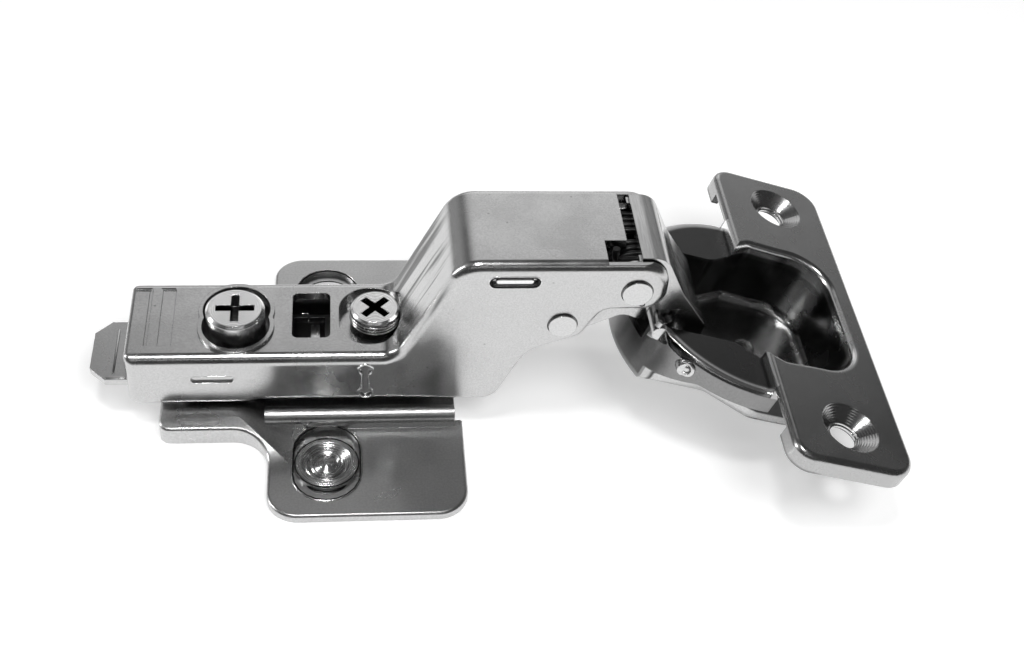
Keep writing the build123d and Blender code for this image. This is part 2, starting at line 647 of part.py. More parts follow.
# ---------------------------------------------------------------- hinge arm
ramp_shift = SHEET * tan(atan2(CRANK_HEIGHT, CRANK_HEAD_X - CRANK_FOOT_X) / 2)
ear_tip = PIN_A[0] + EAR_AHEAD
ear_bottom = PIN_A[1] - EAR_BELOW
arm_plan = (
    (ARM_REAR - 5, -ARM_HALF),
    (CRANK_FOOT_X, -ARM_HALF, CRANK_SIDE_BLEND),
    (CRANK_HEAD_X, -NOSE_HALF, CRANK_SIDE_BLEND),
    (ear_tip + 5, -NOSE_HALF),
    (ear_tip + 5, NOSE_HALF),
    (CRANK_HEAD_X, NOSE_HALF, CRANK_SIDE_BLEND),
    (CRANK_FOOT_X, ARM_HALF, CRANK_SIDE_BLEND),
    (ARM_REAR - 5, ARM_HALF),
)
with BuildPart() as arm_hollow:
    with BuildSketch(Plane.XZ):
        add(
            outline(
                (ARM_REAR - 5, -5),
                (ARM_REAR - 5, ARM_TOP - SHEET),
                (CRANK_FOOT_X + ramp_shift, ARM_TOP - SHEET, CRANK_FOOT_BEND + SHEET),
                (CRANK_HEAD_X + ramp_shift, NOSE_TOP - SHEET, CRANK_HEAD_BEND - SHEET),
                (ear_tip + 5, NOSE_TOP - SHEET),
                (ear_tip + 5, -5),
            )
        )
    extrude(amount=NOSE_HALF, both=True)
    with BuildSketch(Plane.XY.offset(-5)):
        add(outline(*arm_plan))
        offset(amount=-SHEET, mode=Mode.REPLACE)
    extrude(amount=NOSE_TOP + 10, mode=Mode.INTERSECT)


def roof_height(x):
    """Height of the arm's top surface at this x, taking the crank's bends as sharp."""
    share = (x - CRANK_FOOT_X) / (CRANK_HEAD_X - CRANK_FOOT_X)
    return ARM_TOP + CRANK_HEIGHT * min(max(share, 0), 1)


with BuildPart() as hinge_arm:
    with BuildSketch(Plane.XZ):
        add(
            outline(
                (ARM_REAR, ARM_TAIL_BOTTOM, 1.8),
                (ARM_REAR, ARM_TOP, 0.6),
                (CRANK_FOOT_X, ARM_TOP, CRANK_FOOT_BEND),
                (CRANK_HEAD_X, NOSE_TOP, CRANK_HEAD_BEND),
                (ear_tip, NOSE_TOP, 4.0),
                (ear_tip, ear_bottom, 3.2),
                (PIN_B[0] + 5.4, ear_bottom, 2.0),
                (PIN_B[0] + 2.9, PIN_B[1] - 2.6, 2.4),
                (PIN_B[0] - 4.2, PIN_B[1] - 5.6, 5.0),
                (CRANK_HEAD_X + 6.0, ARM_WALL_BOTTOM, 3.0),
                (PLATE_LEFT - 1.0, ARM_WALL_BOTTOM, 2.0),
                (PLATE_LEFT - 3.0, ARM_TAIL_BOTTOM, 2.0),
            )
        )
    extrude(amount=NOSE_HALF, both=True)
    with BuildSketch():
        add(outline(*arm_plan))
    extrude(amount=NOSE_TOP + 5, mode=Mode.INTERSECT)
    roof_edges = [
        edge
        for edge in hinge_arm.edges()
        if abs(edge.center().Z - roof_height(edge.center().X)) < 1.2
        and abs(edge.center().Y) > ARM_HALF - 0.5
        and abs((edge % 0.5).Z) < 0.99
        and ARM_REAR + 1 < edge.center().X < PIN_A[0]
    ]
    fillet(roof_edges, BEND)
    arm_block = hinge_arm.part
    add(arm_hollow.part, mode=Mode.SUBTRACT)

# drawn bowl at the crank's foot, where the side screw is threaded
bowl_at = (SIDE_SCREW_X - 0.7, SIDE_SCREW_Y - 0.5)
with BuildPart() as arm_bowl:
    with BuildSketch(Plane.XY.offset(bowl_floor - BOWL_SHEET)):
        with Locations(bowl_at):
            SlotOverall(BOWL_LENGTH + 2 * BOWL_SHEET, BOWL_WIDTH + 2 * BOWL_SHEET, rotation=90)
    extrude(amount=CRANK_HEIGHT / 2)
    add(arm_block, mode=Mode.INTERSECT)

cam_lobes = [(CAM_X, -CAM_LOBE_SHIFT), (CAM_X, CAM_LOBE_SHIFT)]
with hinge_arm:
    add(arm_bowl.part)
    with BuildSketch(Plane.XY.offset(bowl_floor)):
        with Locations(bowl_at):
            SlotOverall(BOWL_LENGTH, BOWL_WIDTH, rotation=90)
    extrude(amount=CRANK_HEIGHT / 2, mode=Mode.SUBTRACT)
    with BuildSketch(Plane.XY.offset(bowl_floor - BOWL_SHEET)):
        with Locations((SIDE_SCREW_X, SIDE_SCREW_Y)):
            Circle(SIDE_THREAD_R + 2 * RUN_FIT)
    extrude(amount=BOWL_SHEET, mode=Mode.SUBTRACT)
    # twin-lobed opening round the cam screw, with a raised collar, and the sight window
    with BuildSketch(Plane.XY.offset(ARM_TOP - SHEET / 2)):
        with Locations(*cam_lobes):
            Circle(CAM_LOBE_R + COLLAR_WIDTH)
    extrude(amount=SHEET / 2 + COLLAR_PROUD)
    with BuildSketch(Plane.XY.offset(ARM_TOP - SHEET)):
        with Locations(*cam_lobes):
            Circle(CAM_LOBE_R)
    extrude(amount=SHEET + COLLAR_PROUD, mode=Mode.SUBTRACT)
    with BuildSketch(Plane.XY.offset(ARM_TOP - SHEET)):
        with Locations(WINDOW_AT):
            RectangleRounded(*WINDOW_SIZE, 0.8)
    extrude(amount=SHEET, mode=Mode.SUBTRACT)
    # two shallow grooves across the rear end
    with BuildSketch(Plane.XY.offset(ARM_TOP - GROOVE_DEPTH)):
        with Locations((ARM_REAR + 5.2, 0.5)):
            Rectangle(1.8, GROOVE_LENGTH)
        with Locations((ARM_REAR + 2.7, 0.5)):
            Rectangle(0.4, GROOVE_LENGTH)
        with Locations((ARM_REAR + 1.7, GROOVE_LENGTH / 2 + 0.3)):
            Rectangle(2.2, 0.4)
    extrude(amount=GROOVE_DEPTH, mode=Mode.SUBTRACT)
    # pressed marks in both walls
    with BuildSketch(wall(-ARM_HALF)):
        with Locations((TILT_X, TILT_Z)):
            SlotOverall(*TILT_MARK_SIZE)
        with Locations((WALL_MARK_X, (WALL_MARK_Z[0] + WALL_MARK_Z[1]) / 2)):
            Rectangle(WALL_MARK_WIDTH, WALL_MARK_Z[1] - WALL_MARK_Z[0])
        with Locations((WALL_MARK_X, WALL_MARK_Z[0]), (WALL_MARK_X, WALL_MARK_Z[1])):
            Circle(WALL_MARK_R)
    extrude(amount=-WALL_MARK_DEPTH, mode=Mode.SUBTRACT)
    with BuildSketch(wall(-NOSE_HALF)):
        with Locations((NOSE_FRONT - NOSE_MARK_IN, NOSE_TOP - NOSE_MARK_DROP)):
            SlotOverall(*NOSE_MARK_SIZE)
    extrude(amount=-NOSE_MARK_DEPTH, mode=Mode.SUBTRACT)
    # roof cut back between the ears, the ears' slits and the notch for the spring's leg
    with BuildSketch(Plane.XY.offset(NOSE_TOP - SHEET)):
        with Locations(((NOSE_FRONT + ear_tip + 1) / 2, 0)):
            Rectangle(ear_tip + 1 - NOSE_FRONT, 2 * NOSE_INNER)
        with Locations((NOSE_FRONT - EAR_NOTCH / 2, -(NOSE_INNER + 3.0) / 2)):
            Rectangle(EAR_NOTCH, NOSE_INNER - 3.0)
    extrude(amount=SHEET + 1, mode=Mode.SUBTRACT)
    with BuildSketch(Plane.XY.offset(NOSE_TOP - EAR_TOP_DROP)):
        with Locations(
            ((NOSE_FRONT - EAR_NOTCH + ear_tip) / 2, NOSE_HALF - SHEET / 2),
            ((NOSE_FRONT - EAR_NOTCH + ear_tip) / 2, -NOSE_HALF + SHEET / 2),
        ):
            Rectangle(ear_tip - NOSE_FRONT + EAR_NOTCH, SHEET)
    extrude(amount=1, mode=Mode.SUBTRACT)
    # pin holes
    with BuildSketch(Plane.XZ):
        with Locations(PIN_A):
            Circle(PIN_A_R)
        with Locations(PIN_B):
            Circle(PIN_R)
    extrude(amount=NOSE_HALF, both=True, mode=Mode.SUBTRACT)
finish(hinge_arm.part, "hinge_arm")

front_pin = cross_pin(*PIN_A, PIN_A_R, NOSE_HALF, HEAD_A_R, NOSE_HALF, NOSE_HALF + HEAD_PROUD)
finish(front_pin, "arm_pin_front")
rear_pin = cross_pin(*PIN_B, PIN_R, NOSE_HALF, HEAD_B_R, NOSE_HALF, NOSE_HALF + HEAD_PROUD)
finish(rear_pin, "arm_pin_rear")

# ---------------------------------------------------------------- closing spring
with BuildPart() as closing_spring:
    # one wire: a leg up through the roof's notch, a coil, a bridge, a coil and a leg under the roof
    with BuildLine() as spring_line:
        turns = Helix(
            SPRING_PITCH,
            SPRING_PITCH * SPRING_TURNS,
            SPRING_COIL_R,
            center=(PIN_A[0], -COIL_GAP - SPRING_PITCH * SPRING_TURNS, PIN_A[1]),
            direction=(0, 1, 0),
        )
        bridge_bend = turns @ 1 + BRIDGE_REACH * (turns % 1)
        FilletPolyline(turns @ 1, bridge_bend, (bridge_bend.X, 0, bridge_bend.Z), radius=0.4)
        mirror(about=Plane.XZ)
        leg_bend = turns @ 0 - LEG_REACH * (turns % 0)
        FilletPolyline(turns @ 0, leg_bend, (leg_bend.X, leg_bend.Y, NOSE_TOP + 0.1), radius=0.8)
        far_start = turns @ 0
        Line((far_start.X, -far_start.Y, far_start.Z), (leg_bend.X, -leg_bend.Y, leg_bend.Z))
    spring_route = spring_line.wire()
    with BuildSketch(Plane(origin=spring_route @ 0, z_dir=spring_route % 0)):
        Circle(SPRING_WIRE_R)
    sweep(path=spring_route)
finish(closing_spring.part, "closing_spring")

# ---------------------------------------------------------------- outer link
outer_inner = OUTER_HALF - LINK_SHEET
web_path = (
    (PIN_A[0] + 0.35, NOSE_TOP),
    (PIN_A[0] + 3.65, NOSE_TOP),
    (PIN_A[0] + 6.85, PIN_A[1] - 1.9),
    (PIN_C_AT[0] + 4.0, PIN_C_AT[1] + 1.2),
    (PIN_C_AT[0] + 3.2, PIN_C_AT[1] - 1.4),
)
with BuildPart() as outer_link:
    # web: rolled over the front pin, then down into the cup
    with BuildSketch(Plane.XZ):
        with BuildLine():
            FilletPolyline(*web_path, radius=(3.0, 6.0, 1.6))
            offset(amount=LINK_SHEET, side=Side.RIGHT)
        make_face()
    extrude(amount=OUTER_HALF, both=True)
    # side walls: one lobe on the front pin, one on the cup's pin
    with BuildSketch(wall(-OUTER_HALF)):
        with Locations(PIN_A):
            Circle(LINK_EYE_R)
        add(
            outline(
                (PIN_A[0], PIN_A[1] - LINK_EYE_R),
                (PIN_A[0], PIN_A[1] + 4.2),
                (PIN_A[0] + 3.0, PIN_A[1] + 4.2, 2.0),
                (PIN_A[0] + 6.2, PIN_A[1] - 2.2),
                (PIN_A[0] + 7.4, PIN_A[1] - 4.4),
                (PIN_A[0] + 4.0, PIN_A[1] - 4.6, 0.8),
            )
        )
        with Locations(PIN_C_AT):
            Circle(PIN_R + LINK_SHEET)
        add(
            outline(
                (PIN_C_AT[0] - 0.9, PIN_C_AT[1] + 2.2),
                (PIN_A[0] + 6.6, PIN_A[1] - 4.4, 0.5),
                (PIN_A[0] + 7.8, PIN_A[1] - 4.2),
                (PIN_C_AT[0] + 3.4, PIN_C_AT[1] + 1.2),
                (PIN_C_AT[0] + 2.7, PIN_C_AT[1] - 1.2),
                (PIN_C_AT[0] + 0.6, PIN_C_AT[1] - 2.3),
            )
        )
    extrude(amount=-LINK_SHEET)
    mirror(about=Plane.XZ)
    with BuildSketch(Plane.XZ):
        with Locations(PIN_A):
            Circle(PIN_A_R + RUN_FIT)
        with Locations(PIN_C_AT):
            Circle(PIN_R + RUN_FIT)
    extrude(amount=OUTER_HALF, both=True, mode=Mode.SUBTRACT)
finish(outer_link.part, "outer_link")

# ---------------------------------------------------------------- inner link
slot_half = PIN_R + OPEN_PIVOT_SIDE + 0.15
slot_back = -PIN_R - 0.2
slot_front = OPEN_PIVOT_ALONG + PIN_R + 0.2
eye_r = PIN_R + LINK_SHEET - 0.2
with BuildPart() as inner_link:
    # two cheeks, drawn from the rear pin towards the cup's pin
    with BuildSketch(INNER_SIDE.offset(INNER_HALF)):
        add(
            outline(
                (slot_back - LINK_SHEET, -slot_half - 1.0, 2.4),
                (slot_back - LINK_SHEET, slot_half + 1.0, 2.4),
                (slot_front + LINK_SHEET + 0.4, slot_half + 1.0, 2.0),
                (INNER_SPAN - 5.5, 2.0, 2.0),
                (INNER_SPAN, eye_r),
                (INNER_SPAN, -eye_r),
                (INNER_SPAN - 4.4, -0.5, 2.0),
                (slot_front + LINK_SHEET, -slot_half - 1.0, 2.0),
            )
        )
        with Locations((INNER_SPAN, 0)):
            Circle(eye_r)
    extrude(amount=-LINK_SHEET)
    mirror(about=Plane.XZ)
    # web joining the cheeks along their upper edge
    with BuildSketch(INNER_SIDE):
        add(
            outline(
                (slot_front + 0.5, slot_half + 1.0),
                (slot_front + LINK_SHEET + 0.4, slot_half + 1.0, 2.0),
                (INNER_SPAN - 5.5, 2.0, 2.0),
                (INNER_SPAN - 3.4, 2.05),
                (INNER_SPAN - 3.4, 0.9),
                (INNER_SPAN - 5.8, 0.8, 1.0),
                (slot_front + LINK_SHEET, slot_half - 0.1, 1.0),
                (slot_front + 0.5, slot_half - 0.1),
            )
        )
    extrude(amount=INNER_HALF, both=True)
    with BuildSketch(INNER_SIDE):
        with Locations(((slot_back + slot_front) / 2, 0)):
            RectangleRounded(slot_front - slot_back, 2 * slot_half, PIN_R + 0.1)
        with Locations((INNER_SPAN, 0)):
            Circle(PIN_R + RUN_FIT)
    extrude(amount=INNER_HALF, both=True, mode=Mode.SUBTRACT)
finish(inner_link.part, "inner_link")

# ---------------------------------------------------------------- cup
wall_circle = CUP_R - CUP_SHEET
cavity_half = wall_circle - CAVITY_SIDE_ROOM
cavity_end = wall_circle - CAVITY_END_ROOM
cavity_corner = wall_circle - CAVITY_CORNER_ROOM
flange_right = CUP_R + FLANGE_BEYOND
cavity_outline = (
    (cavity_end, -cavity_half, cavity_corner),
    (cavity_end, cavity_half, cavity_corner),
    (CHANNEL_WIDE_X, cavity_half, CHANNEL_WIDE_BLEND),
    (CHANNEL_NARROW_X, CHANNEL_HALF, CHANNEL_NARROW_BLEND),
    (-CUP_R - 2, CHANNEL_HALF),
    (-CUP_R - 2, -CHANNEL_HALF),
    (CHANNEL_NARROW_X, -CHANNEL_HALF, CHANNEL_NARROW_BLEND),
    (CHANNEL_WIDE_X, -cavity_half, CHANNEL_WIDE_BLEND),
)
flange_outline = (
    (FLANGE_LEFT, -FLANGE_HALF_LENGTH, 3.0),
    (flange_right, -FLANGE_HALF_LENGTH, 4.0),
    (flange_right, FLANGE_HALF_LENGTH, 4.0),
    (FLANGE_LEFT, FLANGE_HALF_LENGTH, 3.0),
)
skirt_cut = (
    (FLANGE_LEFT + 2 * CUP_SHEET + 1, -CUP_DEPTH - 1),
    (FLANGE_LEFT + 2 * CUP_SHEET + 1, SKIRT_LOW),
    (SKIRT_RISE[0] - CUP_R, SKIRT_LOW, SKIRT_BLEND),
    (SKIRT_RISE[1] - CUP_R, SKIRT_END_LOW + SKIRT_STEP, SKIRT_BLEND),
    (SKIRT_RISE[2] - CUP_R, SKIRT_END_LOW, SKIRT_BLEND),
    (-CUP_R - 1, SKIRT_END_LOW),
    (-CUP_R - 1, -CUP_DEPTH - 1),
)
hinge_gap = (
    (-CUP_R - 1, HINGE_GAP_LOW),
    (-CUP_R - 1, 1.0),
    (HINGE_GAP_LENGTH - CUP_R, 1.0),
    (HINGE_GAP_LENGTH - CUP_R, HINGE_GAP_LOW),
)
ledge_window = (
    (PIN_D[0] + LEDGE_WINDOW_FROM[0], LEDGE_WINDOW_TOP, LEDGE_WINDOW_BLENDS[0]),
    (
        PIN_D[0] + LEDGE_WINDOW_FROM[0],
        LEDGE_WINDOW_TOP - LEDGE_WINDOW_SIDE,
        LEDGE_WINDOW_BLENDS[0],
    ),
    (PIN_D[0] + LEDGE_WINDOW_FROM[1], LEDGE_WINDOW_LOW, LEDGE_WINDOW_BLENDS[1]),
    (PIN_D[0] + LEDGE_WINDOW_FROM[2], LEDGE_WINDOW_LOW, LEDGE_WINDOW_BLENDS[2]),
    (
        PIN_C[0] + LEDGE_WINDOW_TIP[1],
        LEDGE_WINDOW_TOP - LEDGE_WINDOW_TIP[2],
        LEDGE_WINDOW_BLENDS[3],
    ),
    (PIN_C[0] + LEDGE_WINDOW_TIP[0], LEDGE_WINDOW_TOP, LEDGE_WINDOW_BLENDS[3]),
)
with BuildPart() as cup_ledge:
    # the low half of the rim, with its skirt turned down along the cup's edge
    with BuildSketch(Plane.XY.offset(-CUP_DEPTH)):
        Circle(CUP_R)
        with Locations((FLANGE_LEFT + CUP_SHEET, 0)):
            Rectangle(2 * CUP_R, 2 * CUP_R, align=(Align.MIN, Align.CENTER), mode=Mode.SUBTRACT)
    extrude(amount=CUP_DEPTH - LEDGE_DROP)
    fillet(cup_ledge.faces().sort_by(Axis.Z)[-1].edges().filter_by(GeomType.CIRCLE), RIM_R)
    with BuildSketch(Plane.XY.offset(-CUP_DEPTH)):
        Circle(wall_circle)
    extrude(amount=CUP_DEPTH - LEDGE_DROP - CUP_SHEET, mode=Mode.SUBTRACT)
    with BuildSketch(Plane.XZ):
        add(outline(*skirt_cut))
    extrude(amount=CUP_R, both=True, mode=Mode.SUBTRACT)

with BuildPart() as cup_pot:
    # drawn pot, narrowing to the link channel at the hinge end
    with BuildSketch(Plane.XY.offset(-CUP_DEPTH)):
        add(outline(*cavity_outline))
        offset(amount=CUP_SHEET, mode=Mode.REPLACE)
        Circle(CUP_R, mode=Mode.INTERSECT)
    extrude(amount=CUP_DEPTH - LEDGE_DROP - CUP_SHEET / 2)
    fillet(cup_pot.faces().sort_by(Axis.Z)[0].edges(), POT_EDGE_R)
    with BuildSketch(Plane.XY.offset(-LEDGE_DROP - CUP_SHEET)):
        add(outline(*cavity_outline))
        offset(amount=CUP_SHEET, mode=Mode.REPLACE)
        with Locations((FLANGE_LEFT, 0)):
            Rectangle(2 * CUP_R, 2 * CUP_R, align=(Align.MAX, Align.CENTER), mode=Mode.SUBTRACT)
    extrude(amount=LEDGE_DROP)

with BuildPart() as cup_cavity:
    with BuildSketch(Plane.XY.offset(CUP_SHEET - CUP_DEPTH)):
        add(outline(*cavity_outline))
        Circle(wall_circle, mode=Mode.INTERSECT)
    extrude(amount=CUP_DEPTH + CUP_SHEET)
    fillet(cup_cavity.faces().sort_by(Axis.Z)[0].edges(), POT_FLOOR_R)

with BuildPart() as cup_flange:
    # a shallow tray, open underneath
    with BuildSketch(Plane.XY.offset(-FLANGE_DEPTH)):
        add(outline(*flange_outline))
    extrude(amount=FLANGE_DEPTH)
    add(cup_cavity.part, mode=Mode.SUBTRACT)
    fillet(cup_flange.faces().sort_by(Axis.Z)[-1].edges(), RIM_R)
    with BuildSketch(Plane.XY.offset(-FLANGE_DEPTH)):
        add(outline(*flange_outline))
        offset(amount=-CUP_SHEET, mode=Mode.REPLACE)
    extrude(amount=FLANGE_DEPTH - CUP_SHEET, mode=Mode.SUBTRACT)
    # no skirt beside the hinge end
    for side in (-1, 1):
        with BuildSketch(Plane.XY.offset(-FLANGE_DEPTH)):
            with Locations((FLANGE_LEFT, side * (CUP_R + FLANGE_SKIRT_FROM) / 2)):
                Rectangle(2 * CUP_SHEET + 0.2, FLANGE_SKIRT_FROM - CUP_R)
        extrude(amount=FLANGE_DEPTH - CUP_SHEET, mode=Mode.SUBTRACT)
    # screw dishes
    for side in (-1, 1):
        with BuildSketch(Plane.XY.offset(-CUP_SHEET)):
            with Locations((CUP_HOLE_X, side * CUP_HOLE_SPACING / 2)):
                Circle(DISH_R)
        extrude(amount=CUP_SHEET, mode=Mode.SUBTRACT)
    dish_side = Plane((CUP_HOLE_X, CUP_HOLE_SPACING / 2, 0), x_dir=(1, 0, 0), z_dir=(0, -1, 0))
    with BuildSketch(dish_side):
        add(
            outline(
                (CUP_HOLE_R, -FLANGE_DEPTH),
                (CUP_HOLE_R, -DISH_DEPTH),
                (DISH_R, 0),
                (DISH_R + CUP_SHEET, -CUP_SHEET / 2),
                (DISH_R + CUP_SHEET, -CUP_SHEET),
                (CUP_HOLE_R + 1.2, -FLANGE_DEPTH),
            )
        )
    revolve(axis=Axis((CUP_HOLE_X, CUP_HOLE_SPACING / 2, 0), (0, 0, 1)))
    mirror(about=Plane.XZ)

with BuildPart() as window_cut:
    # reaches through the bend only
    with BuildSketch(Plane.XZ):
        add(outline(*ledge_window))
    extrude(amount=CUP_R, both=True)
    with BuildSketch(Plane.XY.offset(LEDGE_WINDOW_LOW)):
        Circle(CUP_R + 1)
        Circle(wall_circle - 0.3, mode=Mode.SUBTRACT)
    extrude(amount=LEDGE_WINDOW_TOP - LEDGE_WINDOW_LOW, mode=Mode.INTERSECT)

with BuildPart() as hinge_cup:
    add(cup_flange.part)
    add(cup_ledge.part)
    add(cup_pot.part)
    add(cup_cavity.part, mode=Mode.SUBTRACT)
    add(window_cut.part, mode=Mode.SUBTRACT)
    # gap at the hinge end, where both links swing out
    with BuildSketch(Plane.XZ):
        add(outline(*hinge_gap))
    extrude(amount=OUTER_HALF + 2 * SIDE_GAP, both=True, mode=Mode.SUBTRACT)
    # pin bores
    with BuildSketch(Plane.XZ):
        with Locations(PIN_C, PIN_D):
            Circle(PIN_R)
    extrude(amount=CUP_R, both=True, mode=Mode.SUBTRACT)
    # dimple in the floor
    with BuildSketch(Plane.XY.offset(CUP_SHEET - CUP_DEPTH - DIMPLE_DEPTH)):
        with Locations(DIMPLE_AT):
            Circle(DIMPLE_R)
    extrude(amount=DIMPLE_DEPTH, mode=Mode.SUBTRACT)
finish(CUP_PLANE.location * hinge_cup.part, "hinge_cup")

for pin_name, pin_place, pin_at in (
    ("cup_pin_outer", PIN_C, PIN_C_AT),
    ("cup_pin_inner", PIN_D, PIN_D_AT),
):
    half_width = sqrt(CUP_R**2 - pin_place[0] ** 2) + CUP_PIN_PROUD
    finish(cross_pin(*pin_at, PIN_R, half_width), pin_name)
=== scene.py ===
"""Studio scene that dresses the concealed cup hinge in its plated finishes."""

import logging
import math
from collections.abc import Sequence
from dataclasses import dataclass
from enum import Enum

import bmesh
import bpy
from mathutils import Matrix, Vector


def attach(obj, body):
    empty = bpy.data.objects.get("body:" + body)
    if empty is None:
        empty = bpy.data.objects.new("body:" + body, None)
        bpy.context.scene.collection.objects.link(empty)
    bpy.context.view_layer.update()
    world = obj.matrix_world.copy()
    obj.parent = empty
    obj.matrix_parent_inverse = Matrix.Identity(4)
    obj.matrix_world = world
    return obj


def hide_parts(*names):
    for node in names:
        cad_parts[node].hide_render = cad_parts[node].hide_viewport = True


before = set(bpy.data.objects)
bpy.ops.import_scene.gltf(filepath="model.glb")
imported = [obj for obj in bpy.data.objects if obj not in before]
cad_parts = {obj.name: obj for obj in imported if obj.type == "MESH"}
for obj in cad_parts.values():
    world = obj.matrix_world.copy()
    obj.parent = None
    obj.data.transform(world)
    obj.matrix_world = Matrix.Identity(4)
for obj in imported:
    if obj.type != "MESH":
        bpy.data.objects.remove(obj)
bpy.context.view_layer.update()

MM = 0.001
Point = tuple[float, float, float]
Flat = tuple[float, float]
Socket = bpy.types.NodeSocket
log = logging.getLogger("hinge")

# places on the solids in millimetres, x ahead along the arm and z up
CUP_AT = (59.960, 0.0, 16.784)
CUP_TILT = 17.1  # degrees
CUP_SCREWS = (9.5, 22.5)  # in the cup's frame, ahead and to each side
SEAT_SPACING = 32.0
SIDE_SCREW = (6.8, 1.0)
SIDE_TOP = 14.1
CAM_SCREW = (-12.2, -0.8)
CAM_TOP = 15.8
ARM_HALF = 7.75
NOSE_HALF = 8.1
PLATE_TOP = 1.2
BASE_TOP = 9.0
ARM_TOP = 12.9
TILT_MARK = (-15.3, 9.0)
NOSE_MARK = (24.6, 27.0)
LEVER_TAB_TOP = 7.0
LEVER_TAB_TIP = -32.2
SIDES = (("near", -1), ("far", 1))

# how finely round pieces are cut, and how far apart points are one point
RING_STEPS = 72
SMALL_RING_STEPS = 48
WIRE_SIDES = 10
BEAD_RESOLUTION = 2
SHARP_FROM = math.radians(40)
JOIN_WITHIN = 1e-4  # millimetres
MERGE_WITHIN = 1e-7  # metres


@dataclass(frozen=True)
class Axes:
    """A local frame: an origin in millimetres and three directions.

    Args:
        origin: its place, in millimetres.
        x_dir: its first direction.
        z_dir: its third direction.
    """

    origin: Point = (0.0, 0.0, 0.0)
    x_dir: Point = (1.0, 0.0, 0.0)
    z_dir: Point = (0.0, 0.0, 1.0)

    def matrix(self) -> Matrix:
        """Returns the matrix from local millimetres to the scene's metres."""
        x, z = Vector(self.x_dir).normalized(), Vector(self.z_dir).normalized()
        turn = Matrix((x, z.cross(x), z)).transposed().to_4x4()
        return Matrix.Translation(Vector(self.origin) * MM) @ turn @ Matrix.Scale(MM, 4)


def cup_axes(u: float = 0.0, y: float = 0.0, h: float = 0.0) -> Axes:
    """The cup's own frame, moved along its directions.

    Args:
        u: distance along the flange's width, away from the arm.
        y: distance along the flange.
        h: height over the flange's top.

    Returns:
        Axes whose third direction is the flange's normal.
    """
    tilt = math.radians(CUP_TILT)
    along = Vector((math.cos(tilt), 0.0, -math.sin(tilt)))
    normal = Vector((math.sin(tilt), 0.0, math.cos(tilt)))
    place = Vector(CUP_AT) + u * along + Vector((0.0, y, 0.0)) + h * normal
    return Axes(tuple(place), tuple(along), tuple(normal))


# ------------------------------------------------------------------ finishes
class Grain(Enum):
    """Which way the tool marks of a finish run."""

    EVEN = (1.0, 1.0, 1.0)
    ALONG = (0.08, 1.0, 1.0)
    ACROSS = (1.0, 0.08, 1.0)


class Wiring:
    """Short calls that add nodes to a material.

    Args:
        tree: the node tree that they are added to.
    """

    def __init__(self, tree: bpy.types.NodeTree) -> None:
        """Keeps the tree's nodes and links at hand, and adds the Object coordinates."""
        self.nodes, self.links = tree.nodes, tree.links
        self.coords = self.nodes.new("ShaderNodeTexCoord").outputs["Object"]

    def math(self, operation: str, first: Socket | float, second: Socket | float = 0.0) -> Socket:
        """Adds a Math node.

        Args:
            operation: what it does.
            first: its first input, a socket or a number.
            second: its second input.

        Returns:
            Its result.
        """
        node = self.nodes.new("ShaderNodeMath")
        node.operation = operation
        for socket, value in zip(node.inputs, (first, second)):
            if isinstance(value, (int, float)):
                socket.default_value = value
            else:
                self.links.new(value, socket)
        return node.outputs["Value"]

    def times(self, first: Socket | float, second: Socket | float) -> Socket:
        """Multiplies two values."""
        return self.math("MULTIPLY", first, second)

    def plus(self, first: Socket | float, second: Socket | float) -> Socket:
        """Adds two values."""
        return self.math("ADD", first, second)

    def fade(
        self, value: Socket, low: float, high: float, start: float = 0.0, end: float = 1.0
    ) -> Socket:
        """Maps a value's range, held at both ends.

        Args:
            value: the value.
            low: where the range begins.
            high: where it ends.
            start: result at its beginning.
            end: result at its end.

        Returns:
            The mapped value.
        """
        node = self.nodes.new("ShaderNodeMapRange")
        node.interpolation_type = "SMOOTHSTEP"
        node.inputs["From Min"].default_value = low
        node.inputs["From Max"].default_value = high
        node.inputs["To Min"].default_value = start
        node.inputs["To Max"].default_value = end
        self.links.new(value, node.inputs["Value"])
        return node.outputs["Result"]

    def noise(self, size: float, detail: float, stretch: Point = Grain.EVEN.value) -> Socket:
        """Adds a noise.

        Args:
            size: size of its marks, in millimetres.
            detail: how many finer layers it has.
            stretch: scale along each axis, where a low one draws the marks out.

        Returns:
            The noise, 0 to 1.
        """
        turn = self.nodes.new("ShaderNodeMapping")
        turn.inputs["Scale"].default_value = stretch
        self.links.new(self.coords, turn.inputs["Vector"])
        node = self.nodes.new("ShaderNodeTexNoise")
        node.inputs["Scale"].default_value = 1.0 / (size * MM)
        node.inputs["Detail"].default_value = detail
        self.links.new(turn.outputs["Vector"], node.inputs["Vector"])
        return node.outputs["Fac"]

    def cylinder(self, axes: Axes) -> tuple[Socket, Socket]:
        """Gives a point's place round an axis.

        Args:
            axes: a frame whose third direction is the axis.

        Returns:
            Distance from the axis and height along it, in millimetres.
        """
        turn = self.nodes.new("ShaderNodeMapping")
        place, spin, size = axes.matrix().inverted().decompose()
        turn.inputs["Location"].default_value = place
        turn.inputs["Rotation"].default_value = spin.to_euler()
        turn.inputs["Scale"].default_value = size
        self.links.new(self.coords, turn.inputs["Vector"])
        apart = self.nodes.new("ShaderNodeSeparateXYZ")
        self.links.new(turn.outputs["Vector"], apart.inputs["Vector"])
        squares = [self.math("POWER", apart.outputs[axis], 2.0) for axis in ("X", "Y")]
        reach = self.math("SQRT", self.plus(*squares))
        return reach, apart.outputs["Z"]


